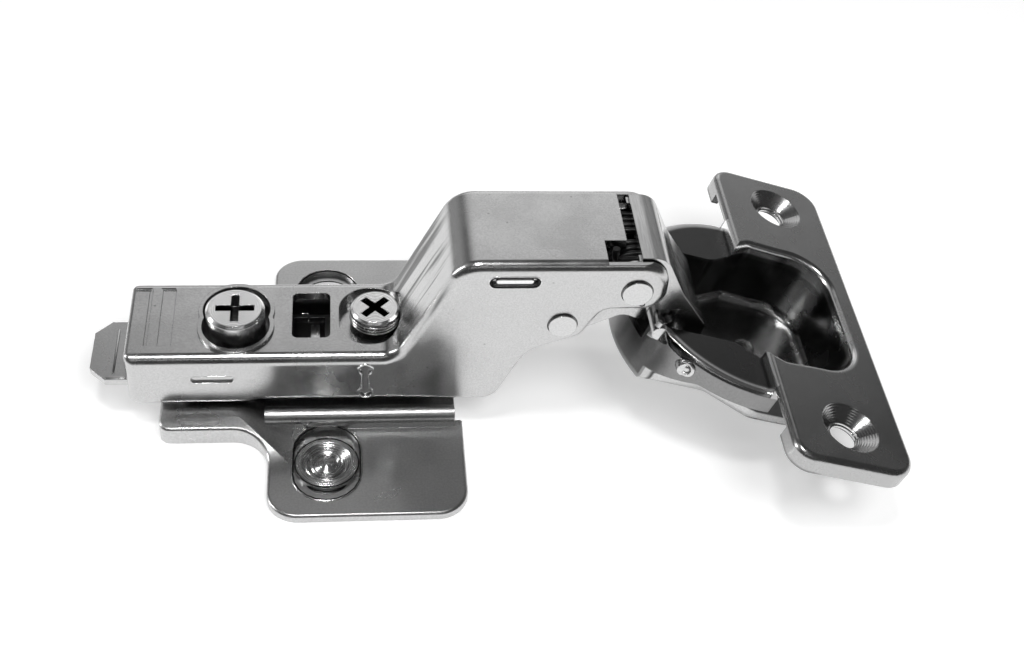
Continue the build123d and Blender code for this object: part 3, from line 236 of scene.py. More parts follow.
@dataclass(frozen=True)
class PaintedLight:
    """A round place where the plating's tone is multiplied: a factor below 1 paints shade there,
    one above 1 paints a highlight.

    Args:
        axes: its middle, with the axis as the third direction.
        radius: how far it reaches from the axis, in millimetres.
        below: it lies below this height along the axis, in millimetres.
        tone: what the grey level is multiplied by there; below 1 it is painted shade, above 1 a
            painted highlight.
        soft: distance over which it fades in, in millimetres.
    """

    axes: Axes
    radius: float
    below: float
    tone: float
    soft: float = 0.15

    def on(self, wiring: Wiring, tone: Socket) -> Socket:
        """Paints the shade or highlight into the tone inside the place.

        Args:
            wiring: the material's wiring.
            tone: the grey level so far.

        Returns:
            The new grey level.
        """
        reach, along = wiring.cylinder(self.axes)
        inside = wiring.times(
            wiring.fade(reach, self.radius - self.soft, self.radius, 1.0, 0.0),
            wiring.fade(along, self.below - self.soft, self.below, 1.0, 0.0),
        )
        return wiring.times(tone, wiring.fade(inside, 0.0, 1.0, 1.0, self.tone))


@dataclass(frozen=True)
class Turning:
    """Fine turned rings round an axis.

    Args:
        axes: their middle, with the axis as the third direction.
        radius: how far they reach, in millimetres.
        pitch: distance between rings, in millimetres.
        depth: depth of a ring, in millimetres.
        soft: distance over which they fade out, in millimetres.
    """

    axes: Axes
    radius: float
    pitch: float = 0.28
    depth: float = 0.012
    soft: float = 0.1

    def on(self, wiring: Wiring, height: Socket) -> Socket:
        """Cuts the rings into the surface.

        Args:
            wiring: the material's wiring.
            height: the surface's height so far, in metres.

        Returns:
            The new height.
        """
        reach, _ = wiring.cylinder(self.axes)
        inside = wiring.fade(reach, self.radius - self.soft, self.radius, 1.0, 0.0)
        wave = wiring.math("SINE", wiring.times(reach, math.tau / self.pitch))
        return wiring.plus(height, wiring.times(wiring.times(wave, inside), self.depth * MM))


@dataclass(frozen=True)
class WearAndSheen:
    """What small marks on the plating look like, and the dark bands of painted reflection along
    the forming marks, with lengths in millimetres.

    Args:
        grain_detail: finer layers of the tool marks.
        grain_range: noise levels between which the tone turns from dark to light.
        tone_spread: how far the tone wanders either way, as a share.
        mottle_size: size of the patches whose roughness differs.
        mottle_detail: their finer layers.
        mottle_range: noise levels between which the roughness rises.
        least_roughness: the least roughness.
        speck_spacing: distance between pits.
        speck_edge: where a pit ends, as shares of the spacing.
        scuff_size: width of a scratch.
        scuff_levels: noise levels between which a scratch deepens.
        scuff_runs: how the two sets of scratches are drawn out.
        streak_size: width of a forming mark.
        streak_detail: its finer layers.
        streak_run: how the forming marks are drawn out.
        streak_ends: lengths over which they begin and end.
        streak_depth: their depth.
        painted_reflection_levels: noise levels between which the dark bands of painted reflection
            fade.
        painted_reflection_tone: tone of those bands of painted reflection, as a share.
        bevel_samples: samples of the rounded edges.
        bump: strength of the marks.
    """

    grain_detail: float = 3.0
    grain_range: Flat = (0.25, 0.75)
    tone_spread: float = 0.08
    mottle_size: float = 6.0
    mottle_detail: float = 4.0
    mottle_range: Flat = (0.3, 0.7)
    least_roughness: float = 0.03
    speck_spacing: float = 2.6
    speck_edge: Flat = (0.03, 0.08)
    scuff_size: float = 0.8
    scuff_levels: Flat = (0.76, 0.79)
    scuff_runs: tuple[Point, Point] = ((1.0, 0.04, 0.3), (0.04, 1.0, 0.3))
    streak_size: float = 1.8
    streak_detail: float = 3.0
    streak_run: Point = (0.05, 1.0, 0.05)
    streak_ends: Flat = (2.5, 3.0)
    streak_depth: float = 0.25
    painted_reflection_levels: Flat = (0.42, 0.6)
    painted_reflection_tone: float = 0.2
    bevel_samples: int = 4
    bump: float = 0.6


@dataclass(frozen=True)
class Finish:
    """A plated metal finish.

    Args:
        name: name of the material.
        colour: grey level of the plating, 0 to 1.
        roughness: mean roughness.
        mottle: how far the roughness wanders over a few millimetres.
        grain: direction of the fine tool marks.
        grain_size: size of the fine marks, in millimetres.
        grain_depth: depth of the fine marks, in millimetres.
        soft_edge: radius that sharp edges are shaded with, in millimetres.
        specks: strength of small dark pits.
        scuffs: depth of long scratches, in millimetres.
        streak_and_sheen_range: range of x, in millimetres, where forming marks run up the metal,
            with dark bands of painted reflection along them.
        painted_light: round places where shade and highlights are painted into the tone.
        turnings: places with turned rings.
        wear_and_sheen: what the small marks and the bands of painted reflection look like.
    """

    name: str
    colour: float
    roughness: float
    mottle: float = 0.05
    grain: Grain = Grain.EVEN
    grain_size: float = 0.25
    grain_depth: float = 0.004
    soft_edge: float = 0.12
    specks: float = 0.0
    scuffs: float = 0.0
    streak_and_sheen_range: Flat | None = None
    painted_light: tuple[PaintedLight, ...] = ()
    turnings: tuple[Turning, ...] = ()
    wear_and_sheen: WearAndSheen = WearAndSheen()

    def specked(self, wiring: Wiring, tone: Socket) -> Socket:
        """Adds the small dark pits.

        Args:
            wiring: the material's wiring.
            tone: the grey level so far.

        Returns:
            The new grey level.
        """
        pits = wiring.nodes.new("ShaderNodeTexVoronoi")
        pits.inputs["Scale"].default_value = 1.0 / (self.wear_and_sheen.speck_spacing * MM)
        wiring.links.new(wiring.coords, pits.inputs["Vector"])
        distance = pits.outputs["Distance"]
        return wiring.times(
            tone, wiring.fade(distance, *self.wear_and_sheen.speck_edge, 1.0 - self.specks, 1.0)
        )

    def scuffed(self, wiring: Wiring, height: Socket) -> Socket:
        """Adds the long scratches.

        Args:
            wiring: the material's wiring.
            height: the surface's height so far, in metres.

        Returns:
            The new height.
        """
        for run in self.wear_and_sheen.scuff_runs:
            mark = wiring.noise(self.wear_and_sheen.scuff_size, 0.0, run)
            mark = wiring.fade(mark, *self.wear_and_sheen.scuff_levels)
            height = wiring.plus(height, wiring.times(mark, -self.scuffs * MM))
        return height

    def streaked_and_sheened(self, wiring: Wiring, tone: Socket, height: Socket) -> tuple[Socket, Socket]:
        """Adds the forming marks that run up a bend as bumps, and paints dark bands of reflection
        along them into the tone.

        Args:
            wiring: the material's wiring.
            tone: the grey level so far.
            height: the surface's height so far, in metres.

        Returns:
            The new grey level and height.
        """
        low, high = (edge * MM for edge in self.streak_and_sheen_range)
        first, last = (length * MM for length in self.wear_and_sheen.streak_ends)
        apart = wiring.nodes.new("ShaderNodeSeparateXYZ")
        wiring.links.new(wiring.coords, apart.inputs["Vector"])
        inside = wiring.times(
            wiring.fade(apart.outputs["X"], low, low + first),
            wiring.fade(apart.outputs["X"], high - last, high, 1.0, 0.0),
        )
        lines = wiring.noise(
            self.wear_and_sheen.streak_size, self.wear_and_sheen.streak_detail, self.wear_and_sheen.streak_run
        )
        raised = wiring.times(wiring.times(lines, inside), self.wear_and_sheen.streak_depth * MM)
        # painted reflection: dark bands along the marks that stand in for the bend's reflections
        painted_bands = wiring.times(wiring.fade(lines, *self.wear_and_sheen.painted_reflection_levels, 1.0, 0.0), inside)
        banded_tone = wiring.fade(painted_bands, 0.0, 1.0, 1.0, self.wear_and_sheen.painted_reflection_tone)
        return wiring.times(tone, banded_tone), wiring.plus(height, raised)

    def connect(self, wiring: Wiring, tone: Socket, height: Socket) -> None:
        """Joins tone, roughness and height to the shader.

        Args:
            wiring: the material's wiring.
            tone: the grey level.
            height: the surface's height, in metres.
        """
        nodes, links = wiring.nodes, wiring.links
        shader = nodes["Principled BSDF"]
        shader.inputs["Metallic"].default_value = 1.0
        rough = wiring.fade(
            wiring.noise(self.wear_and_sheen.mottle_size, self.wear_and_sheen.mottle_detail),
            *self.wear_and_sheen.mottle_range,
            max(self.wear_and_sheen.least_roughness, self.roughness - self.mottle),
            self.roughness + self.mottle,
        )
        grey = nodes.new("ShaderNodeCombineColor")
        for channel in ("Red", "Green", "Blue"):
            links.new(tone, grey.inputs[channel])
        links.new(grey.outputs["Color"], shader.inputs["Base Color"])
        links.new(rough, shader.inputs["Roughness"])
        edge = nodes.new("ShaderNodeBevel")
        edge.samples = self.wear_and_sheen.bevel_samples
        edge.inputs["Radius"].default_value = self.soft_edge * MM
        bump = nodes.new("ShaderNodeBump")
        bump.inputs["Distance"].default_value = 1.0
        bump.inputs["Strength"].default_value = self.wear_and_sheen.bump
        links.new(height, bump.inputs["Height"])
        links.new(edge.outputs["Normal"], bump.inputs["Normal"])
        links.new(bump.outputs["Normal"], shader.inputs["Normal"])

    def material(self) -> bpy.types.Material:
        """Builds the material.

        Returns:
            A node material that reads Object coordinates.
        """
        mat = bpy.data.materials.new(self.name)
        mat.use_nodes = True
        wiring = Wiring(mat.node_tree)
        spread = self.wear_and_sheen.tone_spread
        fine = wiring.noise(self.grain_size, self.wear_and_sheen.grain_detail, self.grain.value)
        tone = wiring.fade(
            fine,
            *self.wear_and_sheen.grain_range,
            self.colour * (1.0 - spread),
            self.colour * (1.0 + spread),
        )
        height = wiring.times(fine, self.grain_depth * MM)
        if self.specks > 0.0:
            tone = self.specked(wiring, tone)
        if self.scuffs > 0.0:
            height = self.scuffed(wiring, height)
        if self.streak_and_sheen_range is not None:
            tone, height = self.streaked_and_sheened(wiring, tone, height)
        # paint shade and highlights into the tone at the round places
        for shade in self.painted_light:
            tone = shade.on(wiring, tone)
        for turning in self.turnings:
            height = turning.on(wiring, height)
        self.connect(wiring, tone, height)
        return mat


CAM_HEAD = Axes((*CAM_SCREW, CAM_TOP))
SIDE_HEAD = Axes((*SIDE_SCREW, SIDE_TOP))
FLANGE_DISHES = tuple(cup_axes(CUP_SCREWS[0], side * CUP_SCREWS[1]) for _, side in SIDES)
PLATE_SEATS = tuple(Axes((0.0, side * SEAT_SPACING / 2, 0.0)) for _, side in SIDES)

ARM_NICKEL = Finish(
    "arm_nickel",
    colour=0.56,
    roughness=0.24,
    grain_size=0.22,
    grain_depth=0.005,
    specks=0.3,
    scuffs=0.0012,
    # forming marks on the ramp, with dark bands of painted reflection
    streak_and_sheen_range=(8.0, 17.5),
)
PLATE_NICKEL = Finish(
    "plate_nickel",
    colour=0.56,
    roughness=0.3,
    mottle=0.03,
    grain_size=0.3,
    grain_depth=0.006,
)
CUP_NICKEL = Finish(
    "cup_nickel",
    colour=0.45,
    roughness=0.24,
    specks=0.35,
    painted_light=(
        # painted light: shade on the shell under the flange, a highlight on the cavity's rim,
        # shade on its walls, a highlight on its floor and shade in the flange's screw holes
        PaintedLight(cup_axes(), radius=30.0, below=-2.3, tone=0.55, soft=0.4),
        PaintedLight(cup_axes(), radius=17.2, below=-0.15, tone=2.1),
        PaintedLight(cup_axes(), radius=16.6, below=-1.3, tone=0.12, soft=0.8),
        PaintedLight(cup_axes(), radius=16.0, below=-9.5, tone=9.0, soft=0.5),
        *(PaintedLight(axes, radius=2.6, below=-1.0, tone=0.5, soft=0.5) for axes in FLANGE_DISHES),
    ),
    turnings=tuple(Turning(axes, radius=4.3) for axes in FLANGE_DISHES),
)
LINK_NICKEL = Finish(
    "link_nickel", colour=0.55, roughness=0.2, grain=Grain.ACROSS, grain_depth=0.003
)
# dark grey: partly the parts' own zinc, partly painted shade of the hinge's inside under the arm,
# where they sit
INNER_ZINC = Finish("inner_zinc", colour=0.14, roughness=0.4)
PIN_NICKEL = Finish("pin_nickel", colour=0.62, roughness=0.22)
SCREW_NICKEL = Finish(
    "screw_nickel",
    colour=0.85,
    roughness=0.2,
    painted_light=(
        # painted shade in the two cross recesses, and on the side screw's shank between its
        # threads
        PaintedLight(CAM_HEAD, radius=2.7, below=-0.3, tone=0.12),
        PaintedLight(SIDE_HEAD, radius=2.4, below=-0.3, tone=0.12),
        PaintedLight(SIDE_HEAD, radius=3.46, below=-0.7, tone=0.12, soft=0.03),
    ),
    turnings=(
        Turning(CAM_HEAD, radius=3.7, pitch=0.3, depth=0.006),
        Turning(SIDE_HEAD, radius=3.1, pitch=0.3, depth=0.006),
    ),
)
SEAT_NICKEL = Finish(
    "seat_nickel",
    colour=0.75,
    roughness=0.2,
    turnings=tuple(Turning(axes, radius=4.4) for axes in PLATE_SEATS),
)
# near black: dark spring steel, and painted shade of the gaps under the arm where the springs sit
SPRING_STEEL = Finish("spring_steel", colour=0.04, roughness=0.4)
# near black: painted shade laid in grooves, gaps, rings and marks where shade falls
PAINTED_SHADE = Finish("painted_shade", colour=0.03, roughness=0.6)


def dress(node: str, material: bpy.types.Material) -> None:
    """Gives a CAD node a material.

    Args:
        node: name of the CAD node.
        material: the material for all of its slots.
    """
    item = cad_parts[node]
    if not item.material_slots:
        item.data.materials.append(material)
    for place in item.material_slots:
        place.material = material
    log.info("dressed %s in %s", node, material.name)


# ------------------------------------------------------------------ pieces
def ease(shape: bmesh.types.BMesh, size: float) -> None:
    """Rounds all the edges of a shape.

    Args:
        shape: the shape, in millimetres.
        size: size of its eased edges.
    """
    bmesh.ops.bevel(
        shape,
        geom=list(shape.edges),
        offset=size,
        offset_type="OFFSET",
        segments=3,
        profile=0.5,
        affect="EDGES",
    )


@dataclass
class Piece:
    """A small mesh piece that rides on one body.

    Args:
        name: name of the piece.
        body: the body that carries it.
        material: its material.
        axes: the frame that its shape is drawn in.
    """

    name: str
    body: str
    material: bpy.types.Material
    axes: Axes = Axes()

    def place(self, shape: bmesh.types.BMesh) -> bpy.types.Object:
        """Turns a shape in local millimetres into the finished piece.

        Args:
            shape: the shape, which is freed.

        Returns:
            The object, riding on its body.
        """
        bmesh.ops.transform(shape, matrix=self.axes.matrix(), verts=shape.verts)
        bmesh.ops.recalc_face_normals(shape, faces=shape.faces)
        for face in shape.faces:
            face.smooth = True
        mesh = bpy.data.meshes.new(self.name)
        shape.to_mesh(mesh)
        shape.free()
        mesh.set_sharp_from_angle(angle=SHARP_FROM)
        mesh.materials.append(self.material)
        item = bpy.data.objects.new(self.name, mesh)
        bpy.context.scene.collection.objects.link(item)
        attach(item, self.body)
        log.info("%s: %d faces, on %s", self.name, len(mesh.polygons), self.body)
        return item

    def turned(self, profile: Sequence[Flat], segments: int = RING_STEPS) -> bpy.types.Object:
        """Makes a turned shape.

        Args:
            profile: closed loop of radius and height, in millimetres.
            segments: steps round the axis.

        Returns:
            The finished piece.
        """
        shape = bmesh.new()
        ring = [shape.verts.new((radius, 0.0, height)) for radius, height in profile]
        edges = [shape.edges.new(ends) for ends in zip(ring, ring[1:] + ring[:1])]
        bmesh.ops.spin(
            shape,
            geom=ring + edges,
            axis=(0.0, 0.0, 1.0),
            cent=(0.0, 0.0, 0.0),
            angle=math.tau,
            steps=segments,
            use_merge=True,
        )
        bmesh.ops.remove_doubles(shape, verts=shape.verts, dist=JOIN_WITHIN)
        return self.place(shape)

    def slab(
        self, outline: Sequence[Flat], low: float, high: float, edge: float
    ) -> bpy.types.Object:
        """Makes a plate of one outline with eased edges.

        Args:
            outline: its corners, in millimetres.
            low: height of its underside.
            high: height of its top.
            edge: size of its eased edges.

        Returns:
            The finished piece.
        """
        shape = bmesh.new()
        base = shape.faces.new([shape.verts.new((x, y, low)) for x, y in outline])
        lifted = bmesh.ops.extrude_face_region(shape, geom=[base])["geom"]
        tops = [part for part in lifted if isinstance(part, bmesh.types.BMVert)]
        bmesh.ops.translate(shape, verts=tops, vec=(0.0, 0.0, high - low))
        ease(shape, edge)
        return self.place(shape)

    def bead(
        self, route: Sequence[Point], radius: float, closed: bool = True
    ) -> bpy.types.Object:
        """Makes a thin round bead along a route.

        Args:
            route: the points that it follows, in local millimetres.
            radius: its radius.
            closed: whether it comes back to its start.

        Returns:
            The finished piece.
        """
        curve = bpy.data.curves.new(self.name + "_line", "CURVE")
        curve.dimensions = "3D"
        curve.bevel_depth = radius
        curve.bevel_resolution = BEAD_RESOLUTION
        curve.use_fill_caps = not closed
        line = curve.splines.new("POLY")
        line.points.add(len(route) - 1)
        for point, spot in zip(line.points, route):
            point.co = (*spot, 1.0)
        line.use_cyclic_u = closed
        holder = bpy.data.objects.new(self.name + "_line", curve)
        bpy.context.scene.collection.objects.link(holder)
        mesh = bpy.data.meshes.new_from_object(holder)
        bpy.data.objects.remove(holder)
        bpy.data.curves.remove(curve)
        shape = bmesh.new()
        shape.from_mesh(mesh)
        bpy.data.meshes.remove(mesh)
        bmesh.ops.remove_doubles(shape, verts=shape.verts, dist=JOIN_WITHIN)
        return self.place(shape)


def arc(middle: Flat, radius: float, start: float, end: float, steps: int = 10) -> list[Flat]:
    """Points along a circular arc.

    Args:
        middle: its centre.
        radius: its radius.
        start: first angle, in degrees.
        end: last angle, in degrees.
        steps: number of steps.

    Returns:
        The points from start to end.
    """
    angles = (math.radians(start + (end - start) * k / steps) for k in range(steps + 1))
    return [
        (middle[0] + radius * math.cos(a), middle[1] + radius * math.sin(a)) for a in angles
    ]


def obround(length: float, width: float) -> list[Flat]:
    """The outline of an obround that lies along its first direction."""
    radius, half = width / 2, (length - width) / 2
    return arc((half, 0), radius, -90, 90) + arc((-half, 0), radius, 90, 270)


def oblong(left: float, right: float, near: float, far: float) -> list[Flat]:
    """The outline of a rectangle between two places along and two across."""
    return [(left, near), (right, near), (right, far), (left, far)]


@dataclass(frozen=True)
class ThreadTurns:
    """The turns of a fine thread, repeated along a screw's shank.

    Args:
        name: name of the piece.
        body: the body that carries it.
        axes: the middle of the highest turn.
        radius: radius of the thread's crest, in millimetres.
        pitch: distance between turns.
        count: number of turns.
        wire: half the width of a crest.
    """

    name: str
    body: str
    axes: Axes
    radius: float
    pitch: float
    count: int
    wire: float

    def tree(self) -> tuple[bpy.types.NodeTree, dict[str, str]]:
        """Builds the node tree.

        Returns:
            The tree, and the identifier of each named input.
        """
        tree = bpy.data.node_groups.new(self.name + "_nodes", "GeometryNodeTree")
        face = tree.interface
        face.new_socket("Geometry", in_out="OUTPUT", socket_type="NodeSocketGeometry")
        kinds = (
            ("Turns", "NodeSocketInt"),
            ("Pitch", "NodeSocketFloat"),
            ("Crest", "NodeSocketFloat"),
            ("Wire", "NodeSocketFloat"),
            ("Material", "NodeSocketMaterial"),
        )
        keys = {
            label: face.new_socket(label, in_out="INPUT", socket_type=kind).identifier
            for label, kind in kinds
        }
        nodes, links = tree.nodes, tree.links
        given, out = nodes.new("NodeGroupInput"), nodes.new("NodeGroupOutput")
        stack = nodes.new("GeometryNodeMeshLine")
        links.new(given.outputs["Turns"], stack.inputs["Count"])
        drop = nodes.new("ShaderNodeMath")
        drop.operation = "MULTIPLY"
        drop.inputs[1].default_value = -1.0
        links.new(given.outputs["Pitch"], drop.inputs[0])
        step = nodes.new("ShaderNodeCombineXYZ")
        links.new(drop.outputs["Value"], step.inputs["Z"])
        links.new(step.outputs["Vector"], stack.inputs["Offset"])
        crest = nodes.new("GeometryNodeCurvePrimitiveCircle")
        crest.inputs["Resolution"].default_value = RING_STEPS
        links.new(given.outputs["Crest"], crest.inputs["Radius"])
        section = nodes.new("GeometryNodeCurvePrimitiveCircle")
        section.inputs["Resolution"].default_value = WIRE_SIDES
        links.new(given.outputs["Wire"], section.inputs["Radius"])
        ring = nodes.new("GeometryNodeCurveToMesh")
        links.new(crest.outputs["Curve"], ring.inputs["Curve"])
        links.new(section.outputs["Curve"], ring.inputs["Profile Curve"])
        copies = nodes.new("GeometryNodeInstanceOnPoints")
        links.new(stack.outputs["Mesh"], copies.inputs["Points"])
        links.new(ring.outputs["Mesh"], copies.inputs["Instance"])
        real = nodes.new("GeometryNodeRealizeInstances")
        links.new(copies.outputs["Instances"], real.inputs["Geometry"])
        paint = nodes.new("GeometryNodeSetMaterial")
        links.new(real.outputs["Geometry"], paint.inputs["Geometry"])
        links.new(given.outputs["Material"], paint.inputs["Material"])
        links.new(paint.outputs["Geometry"], out.inputs["Geometry"])
        return tree, keys

    def build(self, material: bpy.types.Material) -> None:
        """Makes the turns as one plain mesh.

        Args:
            material: their material.
        """
        tree, keys = self.tree()
        holder = bpy.data.objects.new(self.name + "_holder", bpy.data.meshes.new("empty"))
        bpy.context.scene.collection.objects.link(holder)
        repeat = holder.modifiers.new("turns", "NODES")
        repeat.node_group = tree
        repeat[keys["Turns"]] = self.count
        repeat[keys["Pitch"]] = self.pitch
        repeat[keys["Crest"]] = self.radius - self.wire
        repeat[keys["Wire"]] = self.wire
        repeat[keys["Material"]] = material
        seen = holder.evaluated_get(bpy.context.evaluated_depsgraph_get())
        mesh = bpy.data.meshes.new_from_object(seen)
        bpy.data.objects.remove(holder)
        shape = bmesh.new()
        shape.from_mesh(mesh)
        bpy.data.meshes.remove(mesh)
        Piece(self.name, self.body, material, self.axes).place(shape)


# ------------------------------------------------------------------ sub-assemblies
@dataclass
class SeatDress:
    """What sits in the two screw seats and slots of the mounting plate.

    Args:
        metal: material of the turned discs, the slots' lips and their floors.
        dark: material of the painted shade in the groove round a seat and in the gap round a
            slot.
        disc: profile of a seat's disc, as radius and height.
        ring: profile of the ring round the disc.
        groove: profile of the dark ring of painted shade at the seat's rim, with heights over the
            plate's top.
        slot: length and width of a slot.
        lip: how much larger a lip's outline is than the slot, and its radius.
        gap: how much larger the outline of the painted shade in the slot's gap is, and its
            radius.
        floor_gap: how much smaller the slot's floor is.
        floor_sheet: its thickness and the size of its eased edges.
    """

    metal: bpy.types.Material
    dark: bpy.types.Material
    disc: tuple[Flat, ...] = (
        (0.0, 0.1),
        (2.25, 0.1),
        (2.25, 0.62),
        (2.0, 0.8),
        (1.8, 0.72),
        (1.72, 0.5),
        (1.6, 0.62),
        (0.5, 1.0),
        (0.0, 1.06),
    )
    ring: tuple[Flat, ...] = ((2.62, 0.62), (3.0, 0.66), (3.06, 0.92), (2.9, 1.0), (2.68, 0.86))
    groove: tuple[Flat, ...] = ((4.2, -0.4), (4.39, -0.4), (4.39, -0.12), (4.2, -0.08))
    slot: Flat = (13.3, 9.3)
    lip: Flat = (0.2, 0.12)
    gap: Flat = (-0.2, 0.1)
    floor_gap: float = 0.02
    floor_sheet: Flat = (0.06, 0.01)

    def edge(self, name: str, slot: Axes, material: bpy.types.Material, size: Flat) -> None:
        """Runs a bead round a slot's edge.

        Args:
            name: name of the piece.
            slot: the slot's frame.
            material: the bead's material.
            size: how much larger its outline is than the slot, and its radius.
        """
        more, radius = size
        outline = obround(self.slot[0] + more, self.slot[1] + more)
        Piece(name, "plate", material, slot).bead([(x, y, PLATE_TOP) for x, y in outline], radius)

    def build(self) -> None:
        """Makes each seat's disc, ring and painted shade groove, and its slot's lip, painted
        shade gap and floor.
        """
        groove = [(radius, PLATE_TOP + height) for radius, height in self.groove]
        inside = obround(self.slot[0] - self.floor_gap, self.slot[1] - self.floor_gap)
        for (name, _), axes in zip(SIDES, PLATE_SEATS):
            seat = f"seat_{name}"
            Piece(f"{seat}_disc", seat, self.metal, axes).turned(self.disc)
            Piece(f"{seat}_ring", seat, self.metal, axes).turned(self.ring)
            # a dark ring of painted shade at the seat's rim
            Piece(f"{seat}_groove", seat, self.dark, axes).turned(groove)
            slot = Axes(axes.origin, (0.0, 1.0, 0.0))
            self.edge(f"slot_{name}_lip", slot, self.metal, self.lip)
            # a dark bead of painted shade in the gap round the slot
            self.edge(f"slot_{name}_gap", slot, self.dark, self.gap)
            floor = Piece(f"slot_{name}_floor", "plate", self.metal, slot)
            floor.slab(inside, 0.0, *self.floor_sheet)


@dataclass
class ScrewDress:
    """Thread of the side screw.

    Args:
        metal: its material.
        drop: depth of the highest turn below the head's top.
        crest: radius of the thread's crest.
        pitch: distance between turns.
        turns: number of turns.
        wire: half the width of a crest.
    """

    metal: bpy.types.Material
    drop: float = 0.95
    crest: float = 3.54
    pitch: float = 0.5
    turns: int = 3
    wire: float = 0.16

    def build(self) -> None:
        """Makes the side screw's thread."""
        top = Axes((*SIDE_SCREW, SIDE_TOP - self.drop))
        thread = ThreadTurns(
            "side_screw_thread", "side_screw", top, self.crest, self.pitch, self.turns, self.wire
        )
        thread.build(self.metal)


@dataclass
class ArmDress:
    """Pressed marks of the arm and the bits in its window.

    Places on the near wall are along the arm and upwards, and places on a roof along the arm
    and across it.

    Args:
        metal: material of the pressed rims and the nose mark's bar; a brighter one than the arm's
            paints highlights on them.
        dark: material of the painted shade in the punch mark, the roof's lines and the gaps.
        bright: material of the bits in the window.
        sunk: how far the middle of a rim lies inside the wall.
        tilt_rim: length, width and bead radius of the tilt mark's rim.
        nose_rim: those of the nose mark's rim.
        nose_gap: those of the ring of painted shade inside it.
        nose_bar: length and width of the bar in the mark.
        nose_bar_at: heights of the bar's foot and top over the wall, and its eased edge.
        wall_mark: middle of the two-lobed mark.
        lobe: distance of a lobe from the middle, its radius and its bead's radius.
        pins: place of each pin's head and the radius of the ring of painted shade round it.
        pin_gap: bead radius of that ring of painted shade.
        punch_at: place of the punch mark, a dark dot of painted shade.
        punch: its profile, as radius and height.
        roof_marks: range along the arm of each dark line of painted shade on the rear roof.
        roof_mark_across: their range across it.
        roof_mark_heights: their foot, top and eased edge.
        tongue: left, right, near and far end of the tongue in the window.
        tongue_heights: its foot, top and eased edge.
        wire: route of the wire beside it, over the clip base's top.
        wire_radius: the wire's radius.
    """

    metal: bpy.types.Material
    dark: bpy.types.Material
    bright: bpy.types.Material
    sunk: float = 0.03
    tilt_rim: Point = (5.9, 1.25, 0.07)
    nose_rim: Point = (6.9, 2.0, 0.09)
    nose_gap: Point = (6.5, 1.6, 0.1)
    nose_bar: Flat = (5.0, 0.8)
    nose_bar_at: Point = (-0.5, -0.08, 0.12)
    wall_mark: Flat = (5.35, 8.4)
    lobe: Point = (2.2, 1.0, 0.2)
    pins: tuple[tuple[str, Flat, float], ...] = (
        ("front", (40.95, 25.1), 2.1),
        ("rear", (31.55, 19.3), 2.0),
    )
    pin_gap: float = 0.08
    punch_at: Flat = (41.9, 23.0)
    punch: tuple[Flat, ...] = (
        (0.0, -0.2),
        (0.42, -0.2),
        (0.42, 0.02),
        (0.3, 0.05),
        (0.2, -0.05),
        (0.0, -0.08),
    )
    roof_marks: tuple[Flat, Flat] = ((-26.1, -24.0), (-22.8, -20.8))
    roof_mark_across: Flat = (6.12, 6.32)
    roof_mark_heights: Point = (-0.1, 0.015, 0.01)
    tongue: tuple[float, float, float, float] = (-2.2, -0.85, -5.0, 2.6)
    tongue_heights: Point = (-0.5, 0.2, 0.05)
    wire: tuple[Point, ...] = ((-3.4, 4.9, 0.1), (-2.5, 4.9, 0.1), (-2.5, 3.2, 0.1))
    wire_radius: float = 0.1

    @staticmethod
    def wall(place: Flat, half: float) -> Axes:
        """The frame of a place on the near wall.

        Args:
            place: the place, along the arm and upwards.
            half: distance of the wall from the arm's middle.

        Returns:
            Axes whose third direction points out of the wall.
        """
        return Axes((place[0], -half, place[1]), (1.0, 0.0, 0.0), (0.0, -1.0, 0.0))

    def rim(
        self,
        name: str,
        wall: Axes,
        outline: Sequence[Flat],
        radius: float,
        material: bpy.types.Material,
    ) -> None:
        """Runs a thin rim round a pressed mark in the near wall.

        Args:
            name: name of the piece.
            wall: frame of the mark's middle.
            outline: the mark's outline, along the arm and upwards.
            radius: radius of the rim.
            material: its material.
        """
        Piece(name, "arm", material, wall).bead([(x, y, 0.0) for x, y in outline], radius)

    def wall_marks(self) -> None:
        """Makes the rims of the marks, the rings of painted shade in the nose mark and round the
        pins, and the punch mark's painted shade.
        """
        side, nose = ARM_HALF - self.sunk, NOSE_HALF - self.sunk
        length, width, radius = self.tilt_rim
        tilt = self.wall(TILT_MARK, side)
        self.rim("tilt_mark_rim", tilt, obround(length, width), radius, self.metal)
        mark = self.wall(NOSE_MARK, nose)
        length, width, radius = self.nose_rim
        self.rim("nose_mark_rim", mark, obround(length, width), radius, self.metal)
        # a ring of painted shade inside the nose mark's rim
        length, width, radius = self.nose_gap
        self.rim("nose_mark_gap", mark, obround(length, width), radius, self.dark)
        bar = obround(*self.nose_bar)
        Piece("nose_mark_bar", "arm", self.metal, mark).slab(bar, *self.nose_bar_at)
        away, lobe, radius = self.lobe
        lobes = arc((0.0, away), lobe, -60, 240, 16) + arc((0.0, -away), lobe, 120, 420, 16)
        self.rim("wall_mark_rim", self.wall(self.wall_mark, side), lobes, radius, self.metal)
        # rings of painted shade round the pin heads
        for name, place, reach in self.pins:
            circle = arc((0.0, 0.0), reach, 0, 350, 35)
            self.rim(f"pin_{name}_gap", self.wall(place, nose), circle, self.pin_gap, self.dark)
        # the punch mark is a dark dot of painted shade
        dot = Piece("punch_mark", "arm", self.dark, self.wall(self.punch_at, NOSE_HALF))
        dot.turned(self.punch, 24)

    def build(self) -> None:
        """Makes the marks of the wall, the roof's lines of painted shade and the bits in the
        window.
        """
        self.wall_marks()
        roof = Axes((0.0, 0.0, ARM_TOP))
